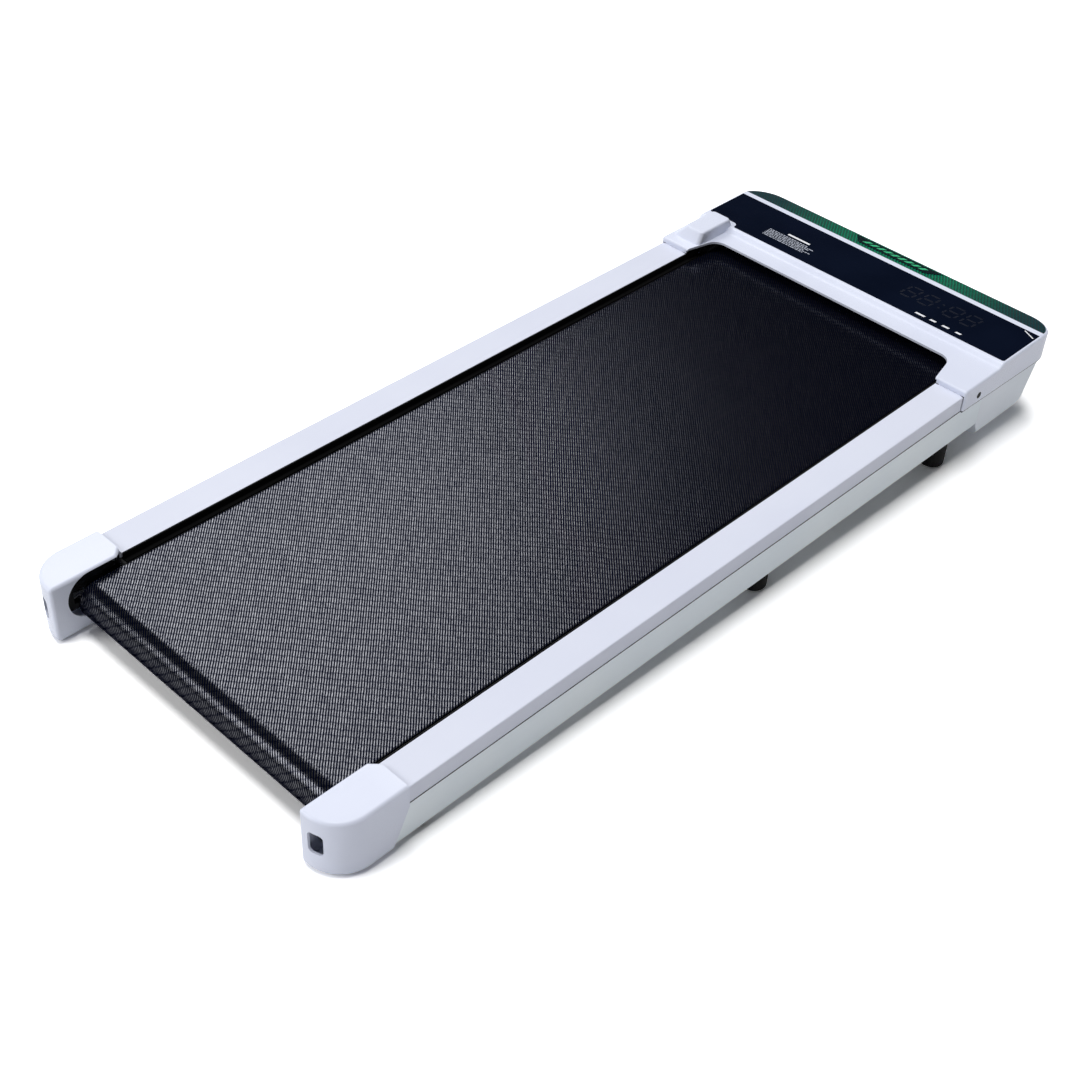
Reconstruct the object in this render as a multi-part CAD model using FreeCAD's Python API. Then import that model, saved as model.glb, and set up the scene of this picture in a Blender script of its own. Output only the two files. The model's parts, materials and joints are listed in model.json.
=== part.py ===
"""Walking pad: a low treadmill with a fixed hood, made as the pieces that come apart on a bench.

The model is drawn level: walking direction along +Y, rail tops at Z = 0, Y = 0 midway between both rollers.
The finished pieces are then tilted by the deck's incline and lifted until the feet stand on Z = 0.
Lengths are millimetres and angles are degrees.
"""
import FreeCAD
import Part
import math
import os

Vector = FreeCAD.Vector

# Whole machine
incline_degrees = 2.0
walk_length = 996.0
overrun = 20.0
seat_gap = 0.3
fit_gap = 0.05
seam_gap = 1.0

# Walking belt, rollers and shafts
belt_half_width = 191.0
belt_thickness = 1.6
belt_drop = 8.0
roller_radius = 21.0
roller_wall = 3.0
roller_overhang = 1.0
shaft_radius = 8.0
bearing_width = 12.0
bearing_inset = 2.0

# Frame beams, cross members and front plates
beam_height = 42.5
beam_drop = 21.5
beam_wall = 2.0
beam_cap_gap = 1.0
beam_front_setback = 10.0
cross_width = 30.0
cross_belt_gap = 2.3
cross_wall = 2.0
cross_count = 4
cross_tension_gap = 10.0
cross_plate_gap = 9.0
plate_thickness = 4.0
plate_pulley_gap = 6.0
plate_lip_gap = 4.0
plate_drop = 8.0
plate_rear_reach = 76.0

# Running deck, cushions and edge guards
deck_thickness = 15.0
deck_side_gap = 0.5
deck_end_gap = 3.0
deck_end_radius = 4.0
cushion_radius = 11.0
cushion_height = 5.0
deck_screw_inset = 7.0
guard_belt_gap = 2.0
guard_thickness = 1.6
guard_lip_gap = 0.6

# Side rails
rail_belt_gap = 9.0
rail_width = 40.0
rail_sheet = 2.0
rail_rib = 2.0
rail_outer_rib_inset = 8.0
rail_tongue_length = 18.0
rail_tongue_inset = 4.0
rail_edge_radius = 1.5

# Screws
screw_radius = 2.0
screw_head_radius = 3.6
screw_head_height = 1.6
screw_clearance = 0.3

# Rear end caps
cap_side_gap = 0.3
cap_belt_gap = 3.0
cap_rise = 5.0
cap_wall = 2.6
cap_floor = 4.0
cap_head_gap = 12.0
cap_front_reach = 38.0
cap_corner_flat = 2.9
cap_edge_radius = 4.0
cap_foot_radius = 6.0
cap_inner_radius = 4.0
cap_front_bevel = 8.0
cap_slant = 20.0
cap_slot_width = 16.0
cap_slot_height = 27.0
cap_slot_radius = 5.0
cap_slot_rise = 2.5
cap_slot_offset = 3.0
cap_notch_gap = 5.1
cap_notch_rise = 6.0
cap_notch_setback = 5.0
cap_lip_setback = 11.0
cap_screw_spacing = 14.0

# Rear belt tension
tension_bolt_wall = 1.0
tension_height = 30.0
tension_rear_reach = 32.0
tension_deck_gap = 0.5
tension_travel = 12.0
tension_bolt_radius = 4.0
tension_tip_reach = 4.0
tension_head_radius = 6.5
tension_head_length = 7.0
tension_socket_radius = 3.0
tension_socket_depth = 4.0
shaft_end_gap = 2.0

# Hood and belly pan
hood_side_gap = 0.2
hood_wall = 2.4
hood_rear_reach = 60.0
hood_nose_reach = 153.0
hood_corner_radius = 40.0
hood_edge_radius = 3.0
hood_rear_radius = 2.5
hood_bar_rise = 7.5
hood_panel_rise = 12.5
hood_nose_rise = 5.0
hood_ramp_radius = 6.0
hood_brow_radius = 20.0
ramp_top_reach = 20.0
ramp_run = 6.0
mouth_setback = 12.0
mouth_rear_inset = 42.0
mouth_front_inset = 53.0
mouth_radius = 18.0
mouth_lip = 0.6
hood_seam_rear_drop = 20.5
hood_seam_front_drop = 26.0
belly_floor_gap = 10.6
belly_edge_radius = 16.0
belly_low_radius = 70.0
belly_lap = 4.0
belly_rear_run = 14.0
belly_pulley_gap = 1.6
vent_count = 9
vent_width = 4.0
vent_length = 44.0
vent_pitch = 12.0

# Dress of the hood
panel_ramp_gap = 4.5
panel_margin = 3.5
panel_radius = 3.0
panel_depth = 1.2
panel_proud = 0.3
strip_width = 8.5
nose_run = 37.5
nose_strip_depth = 0.6
nose_strip_margin = 3.5
badge_thickness = 0.5
badge_rear_half = 54.0
badge_front_half = 70.0
badge_rear_run = 9.5
badge_front_run = 29.5
block_rise = 15.5
block_outer_margin = 5.0
block_width = 44.0
block_rear_setback = 43.0
block_panel_lap = 7.0
block_side_draft = 13.0
block_inner_draft = 1.0
block_end_draft = 8.0
block_radius = 6.0
block_notch_margin = 4.0
block_notch_front = 3.0
block_notch_radius = 6.5
display_width = 134.0
display_length = 40.0
display_depth = 9.0
display_inset = 123.6
display_reach = 70.0

# Motor and drive
motor_reach = 84.0
motor_drop = 40.0
motor_radius = 34.0
motor_length = 116.0
motor_bell_length = 9.0
motor_bell_step = 5.0
motor_shaft_radius = 5.0
motor_shaft_tail = 22.0
motor_pulley_gap = 15.0
motor_pulley_radius = 12.0
roller_pulley_rise = 8.0
pulley_flange = 1.5
pulley_rib_pitch = 2.0
pulley_rib_count = 5
pulley_rib_depth = 1.2
drive_belt_thickness = 2.0
fan_step = 4.0
fan_hub_radius = 10.0
fan_depth = 11.0
fan_gap = 3.0
fan_blade = 1.6
fan_blade_count = 9
cradle_base = 2.0
cradle_length = 16.0
cradle_half_width = 18.0
cradle_height = 6.0
cradle_inset = 12.0
tray_thickness = 3.0
tray_rear_reach = 44.0
tray_wheel_gap = 2.4

# Control electronics on the tray
board_inner = 12.0
board_width = 156.0
board_length = 54.0
board_thickness = 1.6
board_margin = 4.0
board_standoff = 6.0
board_boss_radius = 4.0
sink_width = 60.0
sink_base = 4.0
sink_fin = 1.8
sink_fin_count = 8
sink_height = 24.0
sink_inset = 8.0
capacitor_radius = 11.0
capacitor_height = 34.0
capacitor_count = 2
relay_width = 20.0
relay_height = 16.0

# Power inlet, rocker switch and breaker on the front wall
socket_drop = 52.0
inlet_inset = 92.6
inlet_width = 27.0
inlet_height = 20.0
inlet_depth = 26.0
inlet_flange = 4.0
inlet_flange_thickness = 1.6
inlet_wall = 2.5
inlet_recess = 17.0
inlet_pin_width = 2.0
inlet_pin_height = 4.0
inlet_pin_pitch = 7.0
inlet_pin_length = 13.0
switch_pitch = 42.0
switch_width = 13.0
switch_height = 20.0
switch_depth = 22.0
switch_flange = 2.0
switch_wall = 1.5
switch_pocket = 9.0
rocker_tilt_degrees = 8.0
rocker_gap = 0.5
rocker_thickness = 6.0
rocker_hollow = 1.2
breaker_pitch = 32.0
breaker_radius = 6.0
breaker_depth = 26.0
breaker_flange = 2.5
breaker_button_radius = 4.0
breaker_button_length = 14.0
breaker_button_proud = 5.0

# Hood brackets and belly pan bosses
bracket_sheet = 2.0
bracket_width = 20.0
bracket_foot = 18.0
bracket_setback = 26.5
bracket_top_gap = 3.0
hood_screw_drop = 11.6
hood_screw_length = 14.0
cap_screw_length = 12.0
boss_radius = 6.0
boss_columns_share = (-0.88, -0.33, 0.33, 0.88)
boss_rows_share = (0.2, 0.8)

# Feet and transport wheels
foot_radius = 16.0
foot_inset = 19.0
foot_edge_radius = 4.0
rear_foot_height = 9.0
rear_foot_setback = 60.0
front_foot_setback = 68.0
middle_foot_share = 0.576
wheel_radius = 14.0
wheel_width = 16.0
wheel_edge_radius = 3.0
wheel_proud = 8.0
wheel_inset = 58.0
wheel_axle_radius = 3.0
wheel_side_gap = 1.0
wheel_lug = 4.0
wheel_lug_reach = 8.0
wheel_pocket_gap = 2.0

# Places worked out from the sizes above
frame_half_width = belt_half_width + rail_belt_gap + rail_width
front_y = walk_length / 2
rear_y = -walk_length / 2
deck_top = -(belt_drop + belt_thickness + seat_gap)
deck_bottom = deck_top - deck_thickness
axis_z = deck_top - roller_radius
roller_half = belt_half_width + roller_overhang
pulley_width = pulley_rib_count * pulley_rib_pitch + 2 * pulley_flange
pulley_left = -roller_half - pulley_width
plate_inner = plate_pulley_gap - pulley_left
beam_inner = plate_inner + plate_thickness
beam_middle = (beam_inner + frame_half_width) / 2
beam_top = -beam_drop
beam_bottom = beam_top - beam_height
beam_front = front_y - beam_front_setback
cross_top = deck_bottom - cushion_height
cross_bottom = axis_z - roller_radius - seat_gap + cross_belt_gap
deck_half_width = plate_inner - deck_side_gap
roller_pulley_radius = roller_radius + roller_pulley_rise
deck_setback = roller_pulley_radius + pulley_flange + drive_belt_thickness + deck_end_gap
rail_inner = frame_half_width - rail_width
hood_rear = front_y - hood_rear_reach
nose_front = front_y + hood_nose_reach
nose_foot = nose_front - nose_run
ramp_top = front_y + ramp_top_reach
panel_rear = ramp_top + panel_ramp_gap
panel_front = nose_foot - strip_width
nose_slope = (hood_panel_rise - hood_nose_rise) / nose_run
belly_rear = beam_front + seat_gap
mouth_rear_half = frame_half_width - mouth_rear_inset
mouth_front_half = frame_half_width - mouth_front_inset
hood_inner = frame_half_width + hood_side_gap
hood_half_width = hood_inner + hood_wall
belly_front = nose_front - hood_wall - hood_side_gap
cap_front = rear_y + cap_front_reach
cap_rear = rear_y - tension_rear_reach - tension_head_length - cap_head_gap
cap_inner = belt_half_width + cap_belt_gap
cap_half_width = frame_half_width + cap_side_gap + cap_wall
cap_corner_radius = cap_half_width - cap_inner - cap_inner_radius - cap_corner_flat
beam_rear = cap_rear + cap_corner_radius + beam_cap_gap
cap_notch_radius = roller_radius + seat_gap + belt_thickness + cap_notch_gap
cap_bottom = beam_bottom - cap_floor
tension_plate = 2 * (tension_bolt_radius + tension_bolt_wall)
tension_front = rear_y + deck_setback - tension_deck_gap
motor_y = front_y + motor_reach
motor_z = -motor_drop
tray_top = motor_z - motor_radius - cradle_base
tray_bottom = tray_top - tray_thickness
belly_bottom = tray_bottom - belly_floor_gap - hood_wall
lip_head = axis_z - deck_setback - belly_pulley_gap
plate_low = lip_head + plate_lip_gap
tray_rear = front_y + tray_rear_reach
fan_radius = motor_radius - fan_step
motor_left = pulley_left + pulley_width + motor_pulley_gap
motor_right = motor_left + motor_length
wheel_y = belly_front - belly_edge_radius - wheel_pocket_gap - wheel_radius
tray_front = wheel_y - wheel_radius - tray_wheel_gap
wheel_z = belly_bottom - wheel_proud + wheel_radius
block_rear = front_y - block_rear_setback
block_front = panel_rear + block_panel_lap
bracket_y = front_y - bracket_setback
socket_z = -socket_drop
inlet_offset = hood_half_width - inlet_inset
switch_offset = inlet_offset - switch_pitch
breaker_offset = switch_offset - breaker_pitch
wheel_offset = frame_half_width - wheel_inset
rear_foot_y = rear_y + rear_foot_setback
front_foot_y = front_y - front_foot_setback
middle_foot_y = rear_y + middle_foot_share * walk_length
foot_x = frame_half_width - foot_inset


# Shape helpers

def box(left, right, rear, front, low, high):
    """Upright box between two opposite corners."""
    return Part.makeBox(right - left, front - rear, high - low, Vector(left, rear, low))


def rod_x(radius, left, right, y, z):
    """Round bar along X."""
    return Part.makeCylinder(radius, right - left, Vector(left, y, z), Vector(1, 0, 0))


def rod_y(radius, rear, front, x, z):
    """Round bar along Y."""
    return Part.makeCylinder(radius, front - rear, Vector(x, rear, z), Vector(0, 1, 0))


def rod_z(radius, low, high, x, y):
    """Round bar along Z."""
    return Part.makeCylinder(radius, high - low, Vector(x, y, low))


def fused(shapes):
    """One solid from touching or overlapping shapes, with leftover seams removed."""
    return shapes[0].multiFuse(shapes[1:]).removeSplitter()


def group(shapes):
    """Separate solids kept together in one node."""
    return Part.makeCompound(shapes)


def mirrored(shape):
    """The same shape on the other side of the machine."""
    return shape.mirror(Vector(0, 0, 0), Vector(1, 0, 0))


def rounded_wire(corners):
    """Closed wire through (point, radius) corners: straight runs joined by tangent arcs."""
    arcs = []
    for index, (corner, radius) in enumerate(corners):
        before = (corners[index - 1][0] - corner).normalize()
        after = (corners[(index + 1) % len(corners)][0] - corner).normalize()
        half_angle = before.getAngle(after) / 2
        reach = radius / math.tan(half_angle)
        inward = (before + after).normalize()
        middle = corner + inward * (radius / math.sin(half_angle) - radius)
        arcs.append((corner + before * reach, middle, corner + after * reach, radius))
    edges = []
    for index, (start, middle, end, radius) in enumerate(arcs):
        if radius > 0:
            edges.append(Part.Arc(start, middle, end).toShape())
        edges.append(Part.LineSegment(end, arcs[(index + 1) % len(arcs)][0]).toShape())
    return Part.Wire(edges)


def plan_prism(corners, low, high):
    """Upright prism on a plan outline of (x, y, radius) corners."""
    wire = rounded_wire([(Vector(x, y, low), radius) for x, y, radius in corners])
    return Part.Face(wire).extrude(Vector(0, 0, high - low))


def side_prism(corners, left, right):
    """Prism along X on a side outline of (y, z, radius) corners."""
    wire = rounded_wire([(Vector(left, y, z), radius) for y, z, radius in corners])
    return Part.Face(wire).extrude(Vector(right - left, 0, 0))


def front_prism(corners, rear, front):
    """Prism along Y on a front outline of (x, z, radius) corners."""
    wire = rounded_wire([(Vector(x, rear, z), radius) for x, z, radius in corners])
    return Part.Face(wire).extrude(Vector(0, front - rear, 0))


def spun(profile, y, z):
    """Solid of revolution about an axis along X, from (x, radius) points."""
    points = [Vector(x, y, z + radius) for x, radius in profile]
    face = Part.Face(Part.makePolygon(points + points[:1]))
    return face.revolve(Vector(0, y, z), Vector(1, 0, 0), 360)


def loop_prism(first, second, left, right):
    """Filled belt outline around two (y, z, radius) circles: two arcs and their outer tangents."""
    run_y = second[0] - first[0]
    run_z = second[1] - first[1]
    heading = math.atan2(run_z, run_y)
    spread = math.acos((first[2] - second[2]) / math.hypot(run_y, run_z))

    def rim(circle, angle):
        y, z, radius = circle
        return Vector(left, y + radius * math.cos(angle), z + radius * math.sin(angle))

    upper = heading + spread
    lower = heading - spread
    edges = [
        Part.LineSegment(rim(first, upper), rim(second, upper)).toShape(),
        Part.Arc(rim(second, upper), rim(second, heading), rim(second, lower)).toShape(),
        Part.LineSegment(rim(second, lower), rim(first, lower)).toShape(),
        Part.Arc(rim(first, lower), rim(first, heading + math.pi), rim(first, upper)).toShape(),
    ]
    return Part.Face(Part.Wire(edges)).extrude(Vector(right - left, 0, 0))


def grown(circle, step):
    """A (y, z, radius) circle with a larger radius."""
    return (circle[0], circle[1], circle[2] + step)


def edges_where(shape, test):
    """Edges whose middle point passes the test."""
    def middle(edge):
        return edge.valueAt((edge.FirstParameter + edge.LastParameter) / 2)

    return [edge for edge in shape.Edges if test(middle(edge))]


def near(value, target):
    """True where two coordinates agree to the fit clearance."""
    return abs(value - target) < fit_gap


# Frame

def cross_places():
    """Y of each cross member, evenly spaced between the first and the last."""
    first = tension_front + cross_tension_gap + cross_width / 2
    last = front_y - plate_rear_reach - cross_plate_gap - cross_width / 2
    return [first + (last - first) * index / (cross_count - 1) for index in range(cross_count)]


def deck_screw_places():
    """(x, y) of the deck screws: one at each end of every cross member."""
    reach = deck_half_width - deck_screw_inset
    return [(side * reach, y) for y in cross_places() for side in (-1, 1)]


def cap_screw_places():
    """(x, y) of the two screws under the right rear cap."""
    return [(beam_middle, rear_y + step * cap_screw_spacing) for step in (0, 1)]


def frame_beam():
    """Right box beam, open at its ends, drilled below for the cap screws."""
    tube = box(beam_inner, frame_half_width, beam_rear, beam_front, beam_bottom, beam_top)
    bore = box(beam_inner + beam_wall, frame_half_width - beam_wall,
               beam_rear - overrun, beam_front + overrun,
               beam_bottom + beam_wall, beam_top - beam_wall)
    holes = [rod_z(screw_radius + fit_gap, beam_bottom - overrun, beam_bottom + overrun, x, y)
             for x, y in cap_screw_places()]
    return tube.cut([bore] + holes)


def crossmember(y):
    """Box tube between the beams, drilled on top for the deck screws."""
    rear = y - cross_width / 2
    front = y + cross_width / 2
    tube = box(-beam_inner, beam_inner, rear, front, cross_bottom, cross_top)
    bore = box(-beam_inner - overrun, beam_inner + overrun, rear + cross_wall, front - cross_wall,
               cross_bottom + cross_wall, cross_top - cross_wall)
    middle = (cross_bottom + cross_top) / 2
    holes = [rod_z(screw_radius + fit_gap, middle, cross_top + overrun, x, place)
             for x, place in deck_screw_places() if near(place, y)]
    return tube.cut([bore] + holes)


def front_plate():
    """Right steel side plate that carries the front roller shaft and the motor tray."""
    rear = front_y - plate_rear_reach
    plate = side_prism([(rear, -plate_drop, 0), (tray_front, -plate_drop, 0), (tray_front, tray_bottom, 0),
                        (tray_rear, tray_bottom, 0), (tray_rear, plate_low, 0), (rear, plate_low, 0)],
                       plate_inner, beam_inner)
    bore = rod_x(shaft_radius + fit_gap, plate_inner - overrun, beam_inner + overrun, front_y, axis_z)
    return plate.cut(bore)


def boss_places():
    """(x, y) of the belly pan bosses under the motor tray."""
    run = tray_front - tray_rear
    return [(column * plate_inner, tray_rear + row * run)
            for column in boss_columns_share for row in boss_rows_share]


def board_corners():
    """(x, y) of the four posts under the control board."""
    front = tray_front - board_margin
    rear = front - board_length
    return [(x, y) for x in (board_inner + board_margin, board_inner + board_width - board_margin)
            for y in (rear + board_margin, front - board_margin)]


def motor_tray():
    """Steel floor under the motor, with posts for the control board and screw holes for the belly pan."""
    tray = box(-plate_inner, plate_inner, tray_rear, tray_front, tray_bottom, tray_top)
    posts = [rod_z(board_boss_radius, tray_bottom, tray_top + board_standoff, x, y)
             for x, y in board_corners()]
    holes = [rod_z(screw_radius + fit_gap, tray_bottom - overrun, tray_top + overrun, x, y)
             for x, y in boss_places()]
    return fused([tray] + posts).cut(holes)


# Deck, rails and belt

def running_deck():
    """Walking board with rounded end edges and countersunk screw holes."""
    rear = rear_y + deck_setback
    front = front_y - deck_setback
    board = box(-deck_half_width, deck_half_width, rear, front, deck_bottom, deck_top)
    ends = edges_where(board, lambda p: near(p.z, deck_top) and near(p.x, 0))
    board = board.makeFillet(deck_end_radius, ends)
    high = deck_top + overrun
    holes = []
    for x, y in deck_screw_places():
        holes.append(rod_z(screw_radius + fit_gap, deck_bottom - overrun, high, x, y))
        holes.append(rod_z(screw_head_radius + fit_gap, deck_top - screw_head_height, high, x, y))
    return board.cut(holes)


def deck_cushions():
    """Rubber rings between the cross members and the deck."""
    return group([rod_z(cushion_radius, cross_top, deck_bottom, x, y)
                  .cut(rod_z(screw_radius + fit_gap, cross_top - overrun, deck_bottom + overrun, x, y))
                  for x, y in deck_screw_places()])


def deck_screws():
    """Flat-headed screws through the deck and cushions into the cross members."""
    return group([fused([rod_z(screw_head_radius, deck_top - screw_head_height, deck_top, x, y),
                         rod_z(screw_radius, cross_top - cross_wall, deck_top, x, y)])
                  for x, y in deck_screw_places()])


def side_rail():
    """Right foot rail: a folded cover with two standing ribs and a tongue under each end cover."""
    rear = cap_front + seam_gap
    front = hood_rear - seam_gap
    top = box(rail_inner, frame_half_width, rear, front, -rail_sheet, 0)
    skirt = box(frame_half_width - rail_sheet, frame_half_width, rear, front, beam_top + seam_gap, 0)
    inner_x = (rail_inner + deck_half_width - rail_rib) / 2
    inner_rib = box(inner_x, inner_x + rail_rib, rear, front, deck_top, 0)
    outer_x = beam_inner + rail_outer_rib_inset
    outer_rib = box(outer_x, outer_x + rail_rib, rear, front, beam_top, 0)
    tongue = box(rail_inner + rail_tongue_inset, frame_half_width - rail_tongue_inset,
                 rear - rail_tongue_length, front + rail_tongue_length, -rail_sheet, 0)
    rail = fused([top, skirt, inner_rib, outer_rib, tongue])
    shoulder = edges_where(rail, lambda p: near(p.z, 0) and near(p.x, frame_half_width))
    return rail.makeFillet(rail_edge_radius, shoulder)


def edge_guard():
    """Right black edge strip beside the belt: a flat foot on the deck and an upright lip along the rail."""
    inner = belt_half_width + guard_belt_gap
    outer = rail_inner - fit_gap
    rear = rear_y + deck_setback + deck_end_radius
    front = front_y - deck_setback - deck_end_radius
    foot = box(inner, outer, rear, front, deck_top, deck_top + guard_thickness)
    lip = box(outer - guard_thickness, outer, rear, front, deck_top, -guard_lip_gap)
    return fused([foot, lip])


def running_belt():
    """Endless walking belt around both rollers."""
    half = belt_half_width
    inside = roller_radius + seat_gap
    front = (front_y, axis_z, inside)
    rear = (rear_y, axis_z, inside)
    outer = loop_prism(grown(rear, belt_thickness), grown(front, belt_thickness), -half, half)
    return outer.cut(loop_prism(rear, front, -half - overrun, half + overrun))


# Rollers

def roller_tube(y):
    """Steel roller tube."""
    return rod_x(roller_radius, -roller_half, roller_half, y, axis_z).cut(
        rod_x(roller_radius - roller_wall, -roller_half - overrun, roller_half + overrun, y, axis_z))


def roller_bearings(y):
    """Ball bearing at each end of a roller, drawn as its outer envelope."""
    outer = roller_half - bearing_inset
    ring = rod_x(roller_radius - roller_wall - fit_gap, outer - bearing_width, outer, y, axis_z).cut(
        rod_x(shaft_radius + fit_gap, outer - bearing_width - overrun, outer + overrun, y, axis_z))
    return group([ring, mirrored(ring)])


def front_roller_shaft():
    """Standing shaft of the front roller, held in both front plates."""
    return rod_x(shaft_radius, -beam_inner - shaft_end_gap, beam_inner + shaft_end_gap, front_y, axis_z)


def rear_roller_shaft():
    """Standing shaft of the rear roller, cross-drilled at both ends for the tension bolts."""
    end = beam_inner - shaft_end_gap
    shaft = rod_x(shaft_radius, -end, end, rear_y, axis_z)
    bore = tension_bolt_radius + fit_gap
    holes = [rod_y(bore, rear_y - overrun, rear_y + overrun, side * bolt_x(), axis_z) for side in (-1, 1)]
    return shaft.cut(holes)


def pulley(radius, bore, y, z):
    """Ribbed pulley between two flanges: V grooves repeat along its rim."""
    left = pulley_left
    right = left + pulley_width
    rim = [(left, bore), (left, radius + pulley_flange), (left + pulley_flange, radius + pulley_flange)]
    start = left + pulley_flange
    for index in range(pulley_rib_count):
        rim.append((start + index * pulley_rib_pitch, radius))
        rim.append((start + (index + 1 / 2) * pulley_rib_pitch, radius - pulley_rib_depth))
    rim.append((right - pulley_flange, radius))
    rim += [(right - pulley_flange, radius + pulley_flange), (right, radius + pulley_flange), (right, bore)]
    return spun(rim, y, z)


def bolt_x():
    """Distance of a tension bolt from the centre line: the middle of its bracket."""
    return beam_inner - tension_plate / 2


def tension_bracket():
    """Right rear bracket: a slot guides the shaft end, and the bolt passes through its rear wall."""
    left = beam_inner - tension_plate
    body = box(left, beam_inner, rear_y - tension_rear_reach, tension_front,
               axis_z - tension_height / 2, axis_z + tension_height / 2)
    half_run = shaft_radius + tension_travel
    half_slot = shaft_radius + fit_gap
    slot = box(left - overrun, beam_inner + overrun, rear_y - half_run, rear_y + half_run,
               axis_z - half_slot, axis_z + half_slot)
    start = rear_y - tension_rear_reach - overrun
    hole = rod_y(tension_bolt_radius + fit_gap, start, rear_y, bolt_x(), axis_z)
    return body.cut([slot, hole])


def tension_bolt():
    """Right socket-head bolt that draws the rear shaft back."""
    seat = rear_y - tension_rear_reach - fit_gap
    head_rear = seat - tension_head_length
    head = rod_y(tension_head_radius, head_rear, seat, bolt_x(), axis_z)
    tip = rear_y + shaft_radius + tension_tip_reach
    shank = rod_y(tension_bolt_radius, head_rear, tip, bolt_x(), axis_z)
    corners = []
    for turn in range(0, 360, 60):
        angle = math.radians(turn)
        corners.append((bolt_x() + tension_socket_radius * math.cos(angle),
                        axis_z + tension_socket_radius * math.sin(angle), 0))
    socket = front_prism(corners, head_rear - overrun, head_rear + tension_socket_depth)
    return fused([head, shank]).cut(socket)


# Rear caps

def rear_cap():
    """Right rear end cap: a hollow moulding around the beam end, with a tool slot and a roller notch."""
    def shell(inset, low, high):
        front = cap_front + (overrun if inset > 0 else 0)
        corners = [
            (cap_inner + inset + cap_front_bevel, front, 0),
            (cap_half_width - inset, front, 0),
            (cap_half_width - inset, cap_rear + inset, cap_corner_radius - inset),
            (cap_inner + inset, cap_rear + inset, max(cap_inner_radius - inset, 0)),
            (cap_inner + inset, front - cap_front_bevel, 0),
        ]
        return plan_prism(corners, low, high)

    body = shell(0, cap_bottom, cap_rise)
    for level, radius in ((cap_rise, cap_edge_radius), (cap_bottom, cap_foot_radius)):
        rim = edges_where(body, lambda p: near(p.z, level) and p.y < cap_front - fit_gap)
        body = body.makeFillet(radius, rim)
    body = body.cut(shell(cap_wall, beam_bottom, cap_rise - cap_wall))
    notch_y = rear_y - cap_notch_setback
    notch_z = axis_z + cap_notch_rise
    wall_end = cap_inner + cap_wall
    wall_start = cap_inner - overrun
    ahead = cap_front + overrun
    below = cap_bottom - overrun
    slant_foot = cap_front - cap_slant
    slant = side_prism([(cap_front, beam_top, 0), (ahead, beam_top, 0), (ahead, below, 0),
                        (slant_foot, below, 0), (slant_foot, beam_bottom, 0)],
                       wall_start, cap_half_width + overrun)
    tools = [
        rod_x(cap_notch_radius, wall_start, wall_end, notch_y, notch_z),
        box(wall_start, wall_end, notch_y, ahead, notch_z, notch_z + cap_notch_radius),
        box(wall_start, wall_end, rear_y - cap_lip_setback, ahead, below, notch_z),
        slant,
        cap_slot(),
    ]
    for x, y in cap_screw_places():
        tools.append(rod_z(screw_radius + screw_clearance, below, beam_bottom, x, y))
        tools.append(rod_z(screw_head_radius + screw_clearance, below, cap_bottom + screw_head_height, x, y))
    return body.cut(tools)


def cap_slot():
    """Cutter for the tool slot in the rear face, in line with the tension bolt."""
    middle = axis_z + cap_slot_rise
    left = bolt_x() + cap_slot_offset - cap_slot_width / 2
    right = left + cap_slot_width
    low = middle - cap_slot_height / 2
    high = middle + cap_slot_height / 2
    corners = [(x, z, cap_slot_radius) for x, z in ((left, low), (right, low), (right, high), (left, high))]
    return front_prism(corners, cap_rear - overrun, rear_y - tension_rear_reach - tension_head_length)


# Motor and drive

def motor_body():
    """Motor housing with stepped end bells and a shaft bore."""
    left = motor_left + motor_bell_length
    right = motor_right - motor_bell_length
    core = rod_x(motor_radius, left, right, motor_y, motor_z)
    bells = rod_x(motor_radius - motor_bell_step, motor_left, motor_right, motor_y, motor_z)
    bore = rod_x(motor_shaft_radius + fit_gap, motor_left - overrun, motor_right + overrun, motor_y, motor_z)
    return fused([core, bells]).cut(bore)


def motor_shaft():
    """Motor shaft through the housing, from the pulley to the fan."""
    return rod_x(motor_shaft_radius, pulley_left, motor_right + motor_shaft_tail, motor_y, motor_z)


def motor_fan():
    """Cooling fan at the free end of the motor shaft."""
    left = motor_right + fan_gap
    right = left + fan_depth
    hub = rod_x(fan_hub_radius, left, right, motor_y, motor_z)
    disc = rod_x(fan_radius, left, left + fan_blade, motor_y, motor_z)
    half = fan_blade / 2
    blade = box(left, right, motor_y - half, motor_y + half, motor_z, motor_z + fan_radius)
    blades = []
    for index in range(fan_blade_count):
        copy = blade.copy()
        copy.rotate(Vector(0, motor_y, motor_z), Vector(1, 0, 0), 360 * index / fan_blade_count)
        blades.append(copy)
    bore = rod_x(motor_shaft_radius + fit_gap, left - overrun, right + overrun, motor_y, motor_z)
    return fused([hub, disc] + blades).cut(bore)


def motor_cradle():
    """Two saddles that seat the motor on its tray."""
    drum = rod_x(motor_radius + fit_gap, motor_left - overrun, motor_right + overrun, motor_y, motor_z)
    saddles = []
    for left in (motor_left + motor_bell_length + cradle_inset,
                 motor_right - motor_bell_length - cradle_inset - cradle_length):
        block = box(left, left + cradle_length, motor_y - cradle_half_width, motor_y + cradle_half_width,
                    tray_top, tray_top + cradle_height)
        saddles.append(block.cut(drum))
    return group(saddles)


def drive_belt():
    """Flat drive belt from the motor pulley to the front roller pulley."""
    left = pulley_left + pulley_flange + seat_gap
    right = pulley_left + pulley_width - pulley_flange - seat_gap
    first = (front_y, axis_z, roller_pulley_radius + seat_gap)
    second = (motor_y, motor_z, motor_pulley_radius + seat_gap)
    outer = loop_prism(grown(first, drive_belt_thickness), grown(second, drive_belt_thickness), left, right)
    return outer.cut(loop_prism(first, second, left - overrun, right + overrun))


# Electronics

def board_box():
    """Plan limits of the control board: left, right, rear, front."""
    front = tray_front - board_margin
    return board_inner, board_inner + board_width, front - board_length, front


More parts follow.
